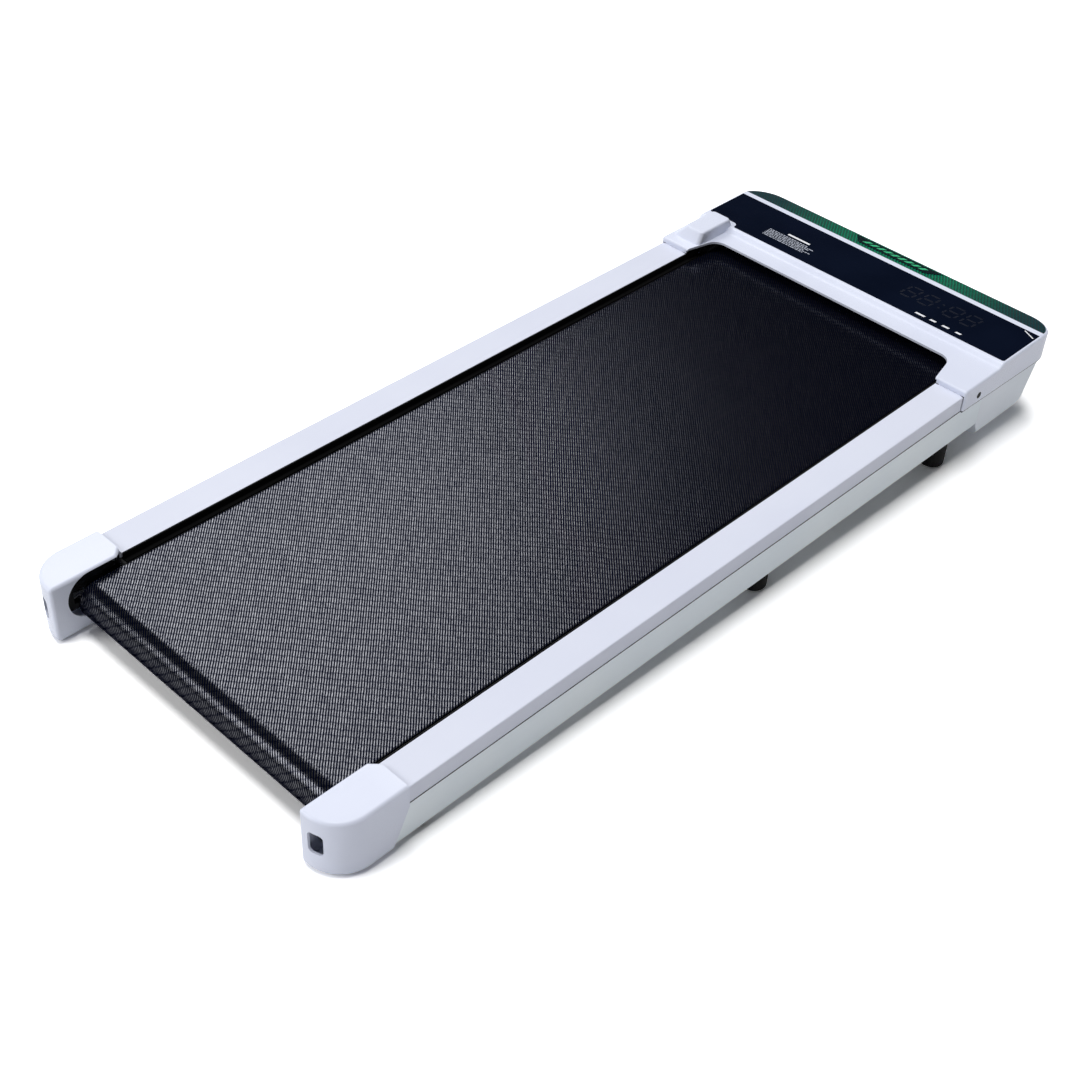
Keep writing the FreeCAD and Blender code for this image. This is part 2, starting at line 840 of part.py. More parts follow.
def control_board():
    """Bare control board on its four posts."""
    low = tray_top + board_standoff
    return box(*board_box(), low, low + board_thickness)


def control_heatsink():
    """Finned heat sink on the control board."""
    left, _, rear, front = board_box()
    low = tray_top + board_standoff + board_thickness
    start = left + sink_inset
    base = box(start, start + sink_width, rear + sink_inset, front - sink_inset, low, low + sink_base)
    step = (sink_width - sink_fin) / (sink_fin_count - 1)
    fins = [box(start + index * step, start + index * step + sink_fin,
                rear + sink_inset, front - sink_inset, low, low + sink_height)
            for index in range(sink_fin_count)]
    return fused([base] + fins)


def control_components():
    """Storage capacitors and a relay on the control board."""
    _, right, rear, front = board_box()
    low = tray_top + board_standoff + board_thickness
    middle = (rear + front) / 2
    cans = [rod_z(capacitor_radius, low, low + capacitor_height,
                  right - sink_inset - capacitor_radius - index * (2 * capacitor_radius + seam_gap), middle)
            for index in range(capacitor_count)]
    relay_x = board_inner + sink_inset + sink_width + seam_gap
    relay = box(relay_x, relay_x + relay_width, middle - relay_width / 2, middle + relay_width / 2,
                low, low + relay_height)
    return group(cans + [relay])


def power_inlet():
    """Appliance inlet: a flange on the front wall, a hollow body behind it and three pins."""
    half_w = inlet_width / 2
    half_h = inlet_height / 2
    body = box(inlet_offset - half_w, inlet_offset + half_w, belly_front - inlet_depth, belly_front,
               socket_z - half_h, socket_z + half_h)
    wide = half_w + inlet_flange
    tall = half_h + inlet_flange
    flange = box(inlet_offset - wide, inlet_offset + wide, belly_front, belly_front + inlet_flange_thickness,
                 socket_z - tall, socket_z + tall)
    floor = belly_front - inlet_recess
    recess = box(inlet_offset - half_w + inlet_wall, inlet_offset + half_w - inlet_wall, floor,
                 belly_front + overrun, socket_z - half_h + inlet_wall, socket_z + half_h - inlet_wall)
    pins = []
    for side in (-1, 0, 1):
        x = inlet_offset + side * inlet_pin_pitch
        pins.append(box(x - inlet_pin_width / 2, x + inlet_pin_width / 2, floor, floor + inlet_pin_length,
                        socket_z - inlet_pin_height / 2, socket_z + inlet_pin_height / 2))
    return fused([fused([body, flange]).cut(recess)] + pins)


def rocker_switch_housing():
    """Switch body with a flange and a pocket for the rocker."""
    half_w = switch_width / 2
    half_h = switch_height / 2
    face = belly_front + inlet_flange_thickness
    body = box(switch_offset - half_w, switch_offset + half_w, belly_front - switch_depth, belly_front,
               socket_z - half_h, socket_z + half_h)
    wide = half_w + switch_flange
    tall = half_h + switch_flange
    flange = box(switch_offset - wide, switch_offset + wide, belly_front, face,
                 socket_z - tall, socket_z + tall)
    narrow = half_w - switch_wall
    short = half_h - switch_wall
    pocket = box(switch_offset - narrow, switch_offset + narrow, face - switch_pocket, face + overrun,
                 socket_z - short, socket_z + short)
    return fused([body, flange]).cut(pocket)


def rocker_axis_y():
    """Y of the rocker's pivot, half a thickness behind the switch face."""
    return belly_front + inlet_flange_thickness - rocker_thickness / 2


def rocker_switch_button():
    """Rocker with a hollowed face, tilted to its off side."""
    half_h = switch_height / 2 - switch_wall - rocker_gap
    half_t = rocker_thickness / 2
    y = rocker_axis_y()
    tilt = math.radians(rocker_tilt_degrees)
    lean = half_h * math.cos(tilt) - half_t * math.sin(tilt)
    corners = [(y - half_t, socket_z - lean, 0), (y + half_t, socket_z - lean, 0),
               (y + half_t - rocker_hollow, socket_z, 0), (y + half_t, socket_z + lean, 0),
               (y - half_t, socket_z + lean, 0)]
    half_w = switch_width / 2 - switch_wall - rocker_gap
    button = side_prism(corners, switch_offset - half_w, switch_offset + half_w)
    button.rotate(Vector(0, y, socket_z), Vector(1, 0, 0), rocker_tilt_degrees)
    return button


def breaker_body():
    """Resettable breaker: a threaded barrel through the front wall with a collar outside."""
    collar_front = belly_front + inlet_flange_thickness
    barrel = rod_y(breaker_radius, belly_front - breaker_depth, belly_front, breaker_offset, socket_z)
    collar = rod_y(breaker_radius + breaker_flange, belly_front, collar_front, breaker_offset, socket_z)
    bore = rod_y(breaker_button_radius + fit_gap, collar_front - breaker_button_length,
                 collar_front + overrun, breaker_offset, socket_z)
    return fused([barrel, collar]).cut(bore)


def breaker_button():
    """Press button of the breaker, standing proud of its collar."""
    front = belly_front + inlet_flange_thickness + breaker_button_proud
    return rod_y(breaker_button_radius, front - breaker_button_length, front, breaker_offset, socket_z)


# Hood

def seam_z(y):
    """Height of the seam between the hood and the belly pan, a straight line from rear to front."""
    share = (y - hood_rear) / (nose_front - hood_rear)
    return -(hood_seam_rear_drop + (hood_seam_front_drop - hood_seam_rear_drop) * share)


def nose_z(y):
    """Height of the sloping nose above the front wall."""
    return hood_panel_rise - (y - nose_foot) * nose_slope


def hood_plan(inset):
    """Plan face of the hood with its belt mouth, drawn in by an inset."""
    mouth_front = front_y - mouth_setback
    rear_corners = [(mouth_rear_half, hood_rear, 0), (mouth_front_half, mouth_front, mouth_radius)]
    outline = [(hood_half_width, hood_rear, 0)]
    outline.append((hood_half_width, nose_front, hood_corner_radius))
    outline.append((-hood_half_width, nose_front, hood_corner_radius))
    outline.append((-hood_half_width, hood_rear, 0))
    outline += [(-x, y, radius) for x, y, radius in rear_corners]
    outline += list(reversed(rear_corners))
    face = Part.Face(rounded_wire([(Vector(x, y, 0), radius) for x, y, radius in outline]))
    return face.makeOffset2D(-inset) if inset > 0 else face


def hood_envelope(inset):
    """Solid inside of the hood's outer surface, drawn in by an inset on top and all round."""
    low = -hood_seam_front_drop - overrun
    prism = hood_plan(inset).extrude(Vector(0, 0, overrun + hood_panel_rise - low))
    prism.translate(Vector(0, 0, low))
    end = nose_front + overrun
    under = overrun if inset > 0 else 0
    profile = [
        (hood_rear, seam_z(hood_rear) - under, 0),
        (hood_rear, hood_bar_rise - inset, hood_rear_radius if inset == 0 else 0),
        (ramp_top - ramp_run, hood_bar_rise - inset, hood_ramp_radius),
        (ramp_top, hood_panel_rise - inset, hood_ramp_radius),
        (nose_foot, hood_panel_rise - inset, hood_brow_radius),
        (end, nose_z(end) - inset, 0),
        (end, seam_z(end) - under, 0),
    ]
    side = side_prism(profile, -hood_half_width - overrun, hood_half_width + overrun)
    return prism.common(side)


def hood_skin():
    """Outer form of the hood with its rim rounded over."""
    solid = hood_envelope(0)
    rim = edges_where(solid, lambda p: near(abs(p.x), hood_half_width) and p.z > 0)
    return solid.makeFillet(hood_edge_radius, rim)


def dress_outline(rear, front, shrink):
    """Plan corners of a panel across the hood, with a notch round the moulded block at its rear left."""
    side = hood_half_width - panel_margin - shrink
    inner = -(hood_half_width - block_outer_margin - block_width) + block_notch_margin + shrink
    notch_front = block_front + block_notch_front + shrink
    rear += shrink
    front -= shrink
    outer = panel_radius - shrink
    return [(side, rear, outer), (side, front, 0), (-side, front, 0), (-side, notch_front, outer),
            (inner, notch_front, block_notch_radius + shrink), (inner, rear, outer)]


def nose_slab(below, above, margin, half_rear, half_front, rear, front):
    """Layer along the nose slope between two depths, cut to a plan trapezium."""
    layer = side_prism([(rear, nose_z(rear) - below, 0), (front, nose_z(front) - below, 0),
                        (front, nose_z(front) + above, 0), (rear, nose_z(rear) + above, 0)],
                       -hood_half_width, hood_half_width)
    low = -overrun
    plan = [(half_rear, rear, 0), (half_front, front, 0), (-half_front, front, 0), (-half_rear, rear, 0)]
    trapezium = plan_prism(plan, low, hood_panel_rise + overrun)
    inside = hood_plan(margin).extrude(Vector(0, 0, hood_panel_rise + 2 * overrun))
    inside.translate(Vector(0, 0, low))
    return layer.common(trapezium).common(inside)


def nose_layer(below, above, margin):
    """Layer over the whole nose slope."""
    half = hood_half_width
    return nose_slab(below, above, margin, half, half, nose_foot + fit_gap, nose_front)


def display_box(clear, low, high):
    """Box around the display module with a clearance on its four sides."""
    left = hood_half_width - display_inset - display_width / 2 - clear
    rear = front_y + display_reach - display_length / 2 - clear
    return box(left, left + display_width + 2 * clear, rear, rear + display_length + 2 * clear, low, high)


def hood_top_cover():
    """Upper hood shell with its belt mouth, recesses for the dress and a window under the display."""
    shell = hood_skin().cut(hood_envelope(hood_wall))
    recess_low = hood_panel_rise - panel_depth
    under = -hood_seam_front_drop - overrun
    tools = [
        box(-hood_inner, hood_inner, hood_rear - overrun, front_y, under, seat_gap),
        box(-rail_inner, rail_inner, hood_rear - overrun, front_y, under,
            hood_bar_rise - hood_wall - mouth_lip),
        plan_prism(dress_outline(panel_rear, nose_foot, 0), recess_low, hood_panel_rise + overrun),
        nose_layer(nose_strip_depth, overrun, nose_strip_margin),
        display_box(screw_clearance, hood_panel_rise - overrun, hood_panel_rise + overrun),
    ]
    for side in (-1, 1):
        outer = side * hood_half_width
        reach = sorted((outer - side * overrun, outer + side * overrun))
        tools.append(rod_x(screw_radius + screw_clearance, *reach, bracket_y, -hood_screw_drop))
        sunk = sorted((outer - side * screw_head_height, outer + side * overrun))
        tools.append(rod_x(screw_head_radius + screw_clearance, *sunk, bracket_y, -hood_screw_drop))
    return shell.cut(tools)


def display_panel():
    """Dark glossy panel in the hood recess."""
    return plan_prism(dress_outline(panel_rear, panel_front, fit_gap),
                      hood_panel_rise - panel_depth, hood_panel_rise + panel_proud)


def accent_strip():
    """Pale strip between the panel and the nose."""
    side = hood_half_width - panel_margin - fit_gap
    return box(-side, side, panel_front, nose_foot - fit_gap,
               hood_panel_rise - panel_depth, hood_panel_rise + panel_proud)


def nose_strip():
    """Coloured film on the sloping nose."""
    return nose_layer(nose_strip_depth, panel_proud, nose_strip_margin + fit_gap)


def nose_badge():
    """Plain dark plate on the middle of the nose strip, wider towards the front."""
    top = panel_proud + badge_thickness
    return nose_slab(-panel_proud, top, nose_strip_margin, badge_rear_half, badge_front_half,
                     nose_foot + badge_rear_run, nose_foot + badge_front_run)


def display_module():
    """Digit display in the hood window, against the back of the panel."""
    high = hood_panel_rise - panel_depth
    return display_box(0, high - display_depth, high)


def hood_block():
    """Raised moulded cover on the left ear of the hood, with drafted sides and rounded edges."""
    left = -hood_half_width + block_outer_margin
    right = left + block_width
    high = hood_bar_rise + block_rise

    def ring(x0, x1, y0, y1, z):
        corners = [(x0, y0), (x1, y0), (x1, y1), (x0, y1)]
        return rounded_wire([(Vector(x, y, z), block_radius) for x, y in corners])

    base = ring(left, right, block_rear, block_front, hood_bar_rise)
    crown = ring(left + block_side_draft, right - block_inner_draft, block_rear + block_end_draft,
                 block_front - block_end_draft, high)
    body = Part.makeLoft([base, crown], True, True)
    rim = edges_where(body, lambda p: near(p.z, high))
    return body.makeFillet(hood_edge_radius, rim).cut(hood_envelope(0))


def belly_ring(inset, rear, z):
    """Plan wire of the belly pan at one height: its front corners grow evenly rounder below the seam."""
    side = frame_half_width - inset
    front = belly_front - inset
    seam_radius = hood_corner_radius - hood_wall - hood_side_gap
    below_seam = max(-hood_seam_front_drop - z, 0)
    share = below_seam / (-hood_seam_front_drop - belly_bottom)
    radius = seam_radius + (belly_low_radius - seam_radius) * share - inset
    corners = [(side, rear, 0), (side, front, radius), (-side, front, radius), (-side, rear, 0)]
    return rounded_wire([(Vector(x, y, z), corner) for x, y, corner in corners])


def belly_envelope(inset):
    """Solid inside of the belly pan: walls lapping into the hood, rounded lower edge, sloping rear lip."""
    low = belly_bottom + inset
    rear = belly_rear - (overrun if inset > 0 else 0)
    levels = (low, -hood_seam_front_drop, overrun)
    solid = Part.makeLoft([belly_ring(inset, rear, z) for z in levels], True, True)
    rim = edges_where(solid, lambda p: near(p.z, low) and p.y > rear + fit_gap)
    solid = solid.makeFillet(belly_edge_radius - inset, rim)
    end = nose_front + overrun
    roof = overrun if inset > 0 else belly_lap
    lip_foot = belly_rear + belly_rear_run + inset
    profile = [(rear, seam_z(rear) + roof, 0), (end, seam_z(end) + roof, 0), (end, low - overrun, 0)]
    profile += [(lip_foot, low - overrun, 0), (lip_foot, low, 0), (belly_rear + inset, lip_head, 0)]
    if inset > 0:
        profile.append((rear, lip_head, 0))
    return solid.common(side_prism(profile, -hood_half_width - overrun, hood_half_width + overrun))


def wheel_sides():
    """X of both transport wheel centres."""
    return (-wheel_offset, wheel_offset)


def hood_belly_pan():
    """Lower hood shell with bosses, wheel lugs, cooling slots and front wall cut-outs."""
    floor = belly_bottom + hood_wall
    shell = belly_envelope(0).cut(belly_envelope(hood_wall))
    below = belly_bottom - overrun
    posts = [rod_z(boss_radius, floor - fit_gap, tray_bottom, x, y) for x, y in boss_places()]
    tools = []
    for x, y in boss_places():
        tools.append(rod_z(screw_radius + screw_clearance, below, tray_bottom + overrun, x, y))
        tools.append(rod_z(screw_head_radius + screw_clearance, below,
                           belly_bottom + screw_head_height, x, y))
    for x in wheel_sides():
        half = wheel_width / 2 + wheel_side_gap
        for left in (x - half - wheel_lug, x + half):
            posts.append(box(left, left + wheel_lug, wheel_y - wheel_lug_reach, wheel_y + wheel_lug_reach,
                             floor - fit_gap, wheel_z + wheel_lug_reach))
        reach = wheel_radius + wheel_pocket_gap
        tools.append(box(x - half, x + half, wheel_y - reach, wheel_y + reach, below, wheel_z + reach))
        span = half + wheel_lug
        tools.append(rod_x(wheel_axle_radius + fit_gap, x - span, x + span, wheel_y, wheel_z))
    first = -vent_pitch * (vent_count - 1) / 2
    vent_rear = (tray_rear + tray_front - vent_length) / 2
    for index in range(vent_count):
        left = first + index * vent_pitch - vent_width / 2
        tools.append(box(left, left + vent_width, vent_rear, vent_rear + vent_length, below, floor + fit_gap))
    wall_rear = belly_front - overrun
    for offset, width, height in ((inlet_offset, inlet_width, inlet_height),
                                  (switch_offset, switch_width, switch_height)):
        half_w = width / 2 + fit_gap
        half_h = height / 2 + fit_gap
        tools.append(box(offset - half_w, offset + half_w, wall_rear, belly_front + overrun,
                         socket_z - half_h, socket_z + half_h))
    tools.append(rod_y(breaker_radius + fit_gap, wall_rear, belly_front + overrun, breaker_offset, socket_z))
    return fused([shell] + posts).cut(tools)


def hood_brackets():
    """Angle bracket on each beam that the hood is screwed to."""
    rear = bracket_y - bracket_width / 2
    front = bracket_y + bracket_width / 2
    leg = box(hood_inner - bracket_sheet, hood_inner, rear, front, beam_top, -bracket_top_gap)
    foot = box(hood_inner - bracket_foot, hood_inner, rear, front, beam_top, beam_top + bracket_sheet)
    hole = rod_x(screw_radius + fit_gap, hood_inner - overrun, hood_inner + overrun,
                 bracket_y, -hood_screw_drop)
    bracket = fused([leg, foot]).cut(hole)
    return group([bracket, mirrored(bracket)])


def cover_screws():
    """Screws of the hood sides, the rear caps and the belly pan."""
    face = hood_half_width
    height = -hood_screw_drop
    side = fused([rod_x(screw_head_radius, face - screw_head_height, face, bracket_y, height),
                  rod_x(screw_radius, face - hood_screw_length, face, bracket_y, height)])
    screws = [side, mirrored(side)]
    for x, y in cap_screw_places():
        screw = fused([rod_z(screw_head_radius, cap_bottom, cap_bottom + screw_head_height, x, y),
                       rod_z(screw_radius, cap_bottom, cap_bottom + cap_screw_length, x, y)])
        screws += [screw, mirrored(screw)]
    for x, y in boss_places():
        screws.append(fused([rod_z(screw_head_radius, belly_bottom, belly_bottom + screw_head_height, x, y),
                             rod_z(screw_radius, belly_bottom, tray_top, x, y)]))
    return group(screws)


# Feet and transport wheels

def row_placement():
    """Tilt of the deck about X and the lift that stands the feet on Z = 0, centred in plan."""
    angle = math.radians(incline_degrees)
    floor_z = beam_bottom - rear_foot_height
    middle = (cap_rear + belly_front + inlet_flange_thickness + breaker_button_proud) / 2
    lift = -(rear_foot_y * math.sin(angle) + floor_z * math.cos(angle))
    shift = Vector(0, -middle * math.cos(angle), lift)
    return FreeCAD.Placement(shift, FreeCAD.Rotation(Vector(1, 0, 0), incline_degrees))


def feet_at(y):
    """Pair of round rubber feet under the beams, cut level with the floor and rounded at the bottom."""
    reach = walk_length * math.tan(math.radians(incline_degrees)) + rear_foot_height + overrun
    post = rod_z(foot_radius, beam_bottom - reach, beam_bottom, foot_x, y)
    side = 2 * walk_length
    ground = Part.makeBox(side, side, side, Vector(-side / 2, -side / 2, -side))
    ground.Placement = row_placement().inverse().multiply(ground.Placement)
    foot = post.cut(ground)
    sole = min(foot.Faces, key=lambda face: face.CenterOfMass.z)
    foot = foot.makeFillet(foot_edge_radius, sole.Edges)
    return group([foot, mirrored(foot)])


def transport_wheel(x):
    """Small wheel with rounded edges on its axle."""
    wheel = rod_x(wheel_radius, x - wheel_width / 2, x + wheel_width / 2, wheel_y, wheel_z)
    rims = [edge for edge in wheel.Edges if edge.Closed]
    wheel = wheel.makeFillet(wheel_edge_radius, rims)
    return wheel.cut(rod_x(wheel_axle_radius + fit_gap, x - wheel_width, x + wheel_width, wheel_y, wheel_z))


def transport_wheel_axles():
    """Axle pins of both transport wheels, held in their lugs."""
    half = wheel_width / 2 + wheel_side_gap + wheel_lug
    return group([rod_x(wheel_axle_radius, x - half, x + half, wheel_y, wheel_z) for x in wheel_sides()])


def build_pieces():
    """Every piece by its node name, drawn level."""
    pieces = {}
    for maker in (frame_beam, front_plate, side_rail, edge_guard, tension_bracket, tension_bolt, rear_cap):
        right_piece = maker()
        pieces[maker.__name__ + "_right"] = right_piece
        pieces[maker.__name__ + "_left"] = mirrored(right_piece)
    for index, y in enumerate(cross_places()):
        pieces[f"crossmember_{index + 1}"] = crossmember(y)
    for end, y in (("front", front_y), ("rear", rear_y)):
        pieces[end + "_roller_tube"] = roller_tube(y)
        pieces[end + "_roller_bearings"] = roller_bearings(y)
    for side, x in zip(("left", "right"), wheel_sides()):
        pieces["transport_wheel_" + side] = transport_wheel(x)
    for place, y in (("front", front_foot_y), ("middle", middle_foot_y), ("rear", rear_foot_y)):
        pieces[place + "_feet"] = feet_at(y)
    pieces["front_roller_pulley"] = pulley(roller_pulley_radius, shaft_radius + seat_gap, front_y, axis_z)
    pieces["motor_pulley"] = pulley(motor_pulley_radius, motor_shaft_radius + fit_gap, motor_y, motor_z)
    for maker in (motor_tray, running_deck, deck_cushions, deck_screws, running_belt, front_roller_shaft,
                  rear_roller_shaft, motor_body, motor_shaft, motor_fan, motor_cradle, drive_belt,
                  control_board, control_heatsink, control_components, power_inlet, rocker_switch_housing,
                  rocker_switch_button, breaker_body, breaker_button, hood_top_cover, hood_belly_pan,
                  display_panel, accent_strip, nose_strip, nose_badge, display_module, hood_block,
                  hood_brackets, cover_screws, transport_wheel_axles):
        pieces[maker.__name__] = maker()
    return pieces


os.makedirs("parts", exist_ok=True)
for node, level_shape in build_pieces().items():
    placed = level_shape.copy()
    placed.Placement = row_placement().multiply(placed.Placement)
    placed.exportStep(os.path.join("parts", node + ".step"))
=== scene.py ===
"""Looks of a walking pad: finishes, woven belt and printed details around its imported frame, in metres."""

import json
import math
import bpy
import numpy as np
from mathutils import Matrix, Vector


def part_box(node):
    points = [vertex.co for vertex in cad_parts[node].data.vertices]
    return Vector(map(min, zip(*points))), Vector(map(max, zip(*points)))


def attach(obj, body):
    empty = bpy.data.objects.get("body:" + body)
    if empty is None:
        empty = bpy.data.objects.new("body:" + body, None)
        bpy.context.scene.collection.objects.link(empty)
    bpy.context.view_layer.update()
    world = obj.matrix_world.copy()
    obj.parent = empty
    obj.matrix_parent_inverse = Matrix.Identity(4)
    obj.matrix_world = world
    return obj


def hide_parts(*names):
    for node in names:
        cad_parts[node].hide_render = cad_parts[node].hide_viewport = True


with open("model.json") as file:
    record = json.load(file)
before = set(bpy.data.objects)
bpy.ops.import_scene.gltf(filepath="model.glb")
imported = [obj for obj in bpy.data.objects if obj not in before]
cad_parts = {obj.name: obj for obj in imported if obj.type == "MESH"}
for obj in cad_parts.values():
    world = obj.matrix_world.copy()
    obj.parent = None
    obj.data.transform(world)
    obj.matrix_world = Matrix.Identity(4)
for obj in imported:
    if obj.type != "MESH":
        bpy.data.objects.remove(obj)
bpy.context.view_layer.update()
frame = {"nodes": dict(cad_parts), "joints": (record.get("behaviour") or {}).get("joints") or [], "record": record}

# View of the photograph, in the deck's own frame
view_azimuth = 42.215312
view_elevation = 40.455635
view_roll = 3.369124
view_lens = 56.40969
view_sensor = 36.0
view_distance = 1.901897
view_slide = -0.0253607
view_drop = -0.0897631
view_anchor_y = -0.008

# Walking belt
roller_axis_drop = 0.0309
belt_thickness = 0.0016
belt_edge_radius = 0.0005
belt_edge_flat = 0.003
belt_edge_steps = 4
belt_run_steps = 24
belt_turn_steps = 64
weave_pitch = 0.0026
weave_length = 0.0082
weave_step = 0.03
weave_jitter = 0.14
weave_wander = 0.25
weave_sway = 0.6
weave_metal = 0.96
weave_bump = 0.00003
weave_edge_tint = (0.25, 0.25, 0.27, 1.0)

# Dark beads and a strip in the seams, painted shade for the shadow lines there, and dark dished rings round the hood's
# side screws, painted shade for their recesses
shade_strand_steps = 6
rail_gap_low = -0.0215
rail_gap_high = -0.0205
rail_shade_lap = 0.0002
rail_shade_proud = 0.0004
hood_seam_rear = -0.0205
hood_seam_front = -0.026
hood_wall = 0.0024
hood_corner = 0.04
hood_corner_steps = 16
hood_shade_drop = 0.0013
cup_radius = 0.0044
cup_lip = 0.0005
cup_rise = 0.00016
cup_sides = 40
cup_hole = 0.0001

# Printed marks on the display panel and the badge
print_thickness = 0.00012
bar_rows = ((0.101, 0.115), (0.1233, 0.1318), (0.1415, 0.1514), (0.1615, 0.1693))
bar_y = 0.531
bar_depth = 0.0032
bar_lean = 0.0012
digit_count = 4
digit_left = 0.060
digit_pitch = 0.0262
colon_room = 0.012
digit_width = 0.0175
digit_rear = 0.5555
digit_height = 0.027
digit_lean = 0.14
segment_width = 0.0028
segment_gap = 0.0004
colon_radius = 0.0016
colon_shares = (0.3, 0.7)
colon_sides = 12
line_left = -0.153
line_right = -0.074
line_rear = 0.5395
line_count = 6
line_pitch = 0.0033
line_depth = 0.0015
line_ragged = 0.007
word_count = 24
word_unit = 0.0017
word_gap = 0.0012
title_left = -0.127
title_right = -0.091
title_y = 0.5636
title_depth = 0.0034
corner_line = ((0.2198, 0.6017), (0.2365, 0.5935))
corner_line_width = 0.0016
dash_count = 9
dash_pitch = 0.0112
dash_width = 0.0062
dash_depth = 0.0088
dash_lean = 0.006
slope_parts = 50

# Cell sizes of printed and etched patterns
nose_cell = 0.0046
circuit_run = 0.0032
circuit_pad = 0.0051

# Floor and light
floor_half = 60.0
floor_tone = 0.85
floor_shown = 1.55
floor_mirrored = 1.0
world_level = 0.03
world_tint = (0.94, 0.96, 1.0)
backdrop_full = 0.01
backdrop_end = 0.1

# Lamps: azimuth and elevation in degrees, level, and spread in degrees
lamps = {"overhead": (215, 85.5, 0.57, 22), "key": (152, 41, 0.29, 30), "side": (242, 32, 0.41, 31),
         "fill": (-25, 12, 0.1, 30)}


# The deck's own frame: X to the walker's right, Y forwards along the belt, Z up from the rails' top faces

axles = {joint["name"]: Vector(joint["pos_m"]) for joint in frame["joints"] if "pos_m" in joint}
front_axle = axles["front_roller_spin"]
rear_axle = axles["rear_roller_spin"]
deck_across = Vector((1, 0, 0))
deck_along = (front_axle - rear_axle).normalized()
deck_up = deck_across.cross(deck_along)
deck_origin = (front_axle + rear_axle) / 2 + deck_up * roller_axis_drop
deck_turn = Matrix((deck_across, deck_along, deck_up)).transposed()
deck_tilt = math.asin(deck_along.z)


def to_row(points):
    """Deck points, last axis x, y, z, turned by the deck's tilt and moved to the deck's origin in the row frame."""
    return np.asarray(points, float) @ np.array(deck_turn).T + np.array(deck_origin)


def node_points(node):
    """All corners of a CAD node in deck coordinates, the inverse of to_row."""
    mesh = frame["nodes"][node].data
    corners = np.empty(len(mesh.vertices) * 3, np.float32)
    mesh.vertices.foreach_get("co", corners)
    return (corners.reshape(-1, 3) - np.array(deck_origin)) @ np.array(deck_turn)


def top_slope(node):
    """Rear y, its highest z there and the rise per metre towards the front, of a CAD node's top face."""
    points = node_points(node)
    rear, front = points[:, 1].min(), points[:, 1].max()
    near = (front - rear) / slope_parts
    rear_top = points[points[:, 1] < rear + near, 2].max()
    front_top = points[points[:, 1] > front - near, 2].max()
    return rear, rear_top, (front_top - rear_top) / (front - rear)


# Meshes

def new_piece(name, points, faces):
    """Mesh piece from row points and a list of corner rows, riding on the chassis."""
    mesh = bpy.data.meshes.new(name)
    mesh.from_pydata(np.asarray(points).reshape(-1, 3).tolist(), [], faces)
    mesh.update()
    piece = bpy.data.objects.new(name, mesh)
    bpy.context.scene.collection.objects.link(piece)
    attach(piece, "chassis")
    return piece


def ring_faces(steps, sides, closed):
    """Corner rows of the quads between neighbouring rings of points, numbered ring by ring; where closed, the last
    ring joins the first."""
    row = np.arange(steps if closed else steps - 1)[:, None]
    column = np.arange(sides)[None, :]
    after_row, after = (row + 1) % steps, (column + 1) % sides
    return np.stack([row * sides + column, after_row * sides + column, after_row * sides + after,
                     row * sides + after], axis=-1).reshape(-1, 4)


def plates(name, outlines, surface):
    """Thin plates lying on a top face. Each outline is a ring of x, y corners, counter-clockwise; a plate joins the
    ring on the face, z = rear z + slope (y - rear y), to the same ring one print thickness higher."""
    rings = np.asarray(outlines, float)
    count, sides = rings.shape[:2]
    rear, rear_top, slope = surface
    low = rear_top + slope * (rings[..., 1] - rear)
    lower = np.concatenate([rings, low[..., None]], axis=-1)
    upper = lower + (0, 0, print_thickness)
    points = to_row(np.stack([lower, upper], axis=1))
    first = 2 * sides * np.arange(count)[:, None]
    step = np.arange(sides)[None, :]
    after = (step + 1) % sides
    tops = (first + sides + step).tolist()
    bottoms = (first + step[:, ::-1]).tolist()
    walls = np.stack([first + step, first + after, first + sides + after, first + sides + step], axis=-1)
    return new_piece(name, points, tops + bottoms + walls.reshape(-1, 4).tolist())


def bar(start, end, width):
    """Four corners of a straight bar of a width round the line from start to end."""
    start, end = np.asarray(start, float), np.asarray(end, float)
    along = (end - start) / np.linalg.norm(end - start)
    side = np.array((-along[1], along[0])) * width / 2
    return np.stack([start - side, end - side, end + side, start + side])


def segment(start, end, width):
    """Six corners of a display segment: a bar of a width from start to end with pointed ends."""
    start, end = np.asarray(start, float), np.asarray(end, float)
    along = (end - start) / np.linalg.norm(end - start) * width / 2
    side = np.array((-along[1], along[0]))
    return np.stack([start, start + along - side, end - along - side, end, end - along + side, start + along + side])


def disc(middle, radius, sides):
    """Corners of a regular polygon: middle + radius (cos t, sin t) for t round the circle."""
    turn = np.arange(sides) * 2 * math.pi / sides
    return np.asarray(middle, float) + radius * np.stack([np.cos(turn), np.sin(turn)], axis=-1)


def belt_path():
    """Loop round both rollers from the rear end of the top run: straight, half turn, straight, half turn. A point is
    the nearest point of the line between the axles plus the belt's radius times the outward direction. Gives the
    axle-line places, the outward directions as y, z pairs and the travelled length at each step, first one repeated."""
    half = (front_axle - rear_axle).length / 2
    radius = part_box("running_belt")[1].y - front_axle.y
    run = np.linspace(-half, half, belt_run_steps, endpoint=False)
    turn = np.linspace(math.pi / 2, -math.pi / 2, belt_turn_steps, endpoint=False)
    place = np.concatenate([run, np.full(belt_turn_steps, half), -run, np.full(belt_turn_steps, -half), [-half]])
    angle = np.concatenate([np.full(belt_run_steps, math.pi / 2), turn, np.full(belt_run_steps, -math.pi / 2),
                            turn - math.pi, [-3 * math.pi / 2]])
    travel = np.concatenate([[0], np.cumsum(np.abs(np.diff(place)) + radius * np.abs(np.diff(angle)))])
    return place, np.stack([np.cos(angle), np.sin(angle)], axis=-1), travel, radius


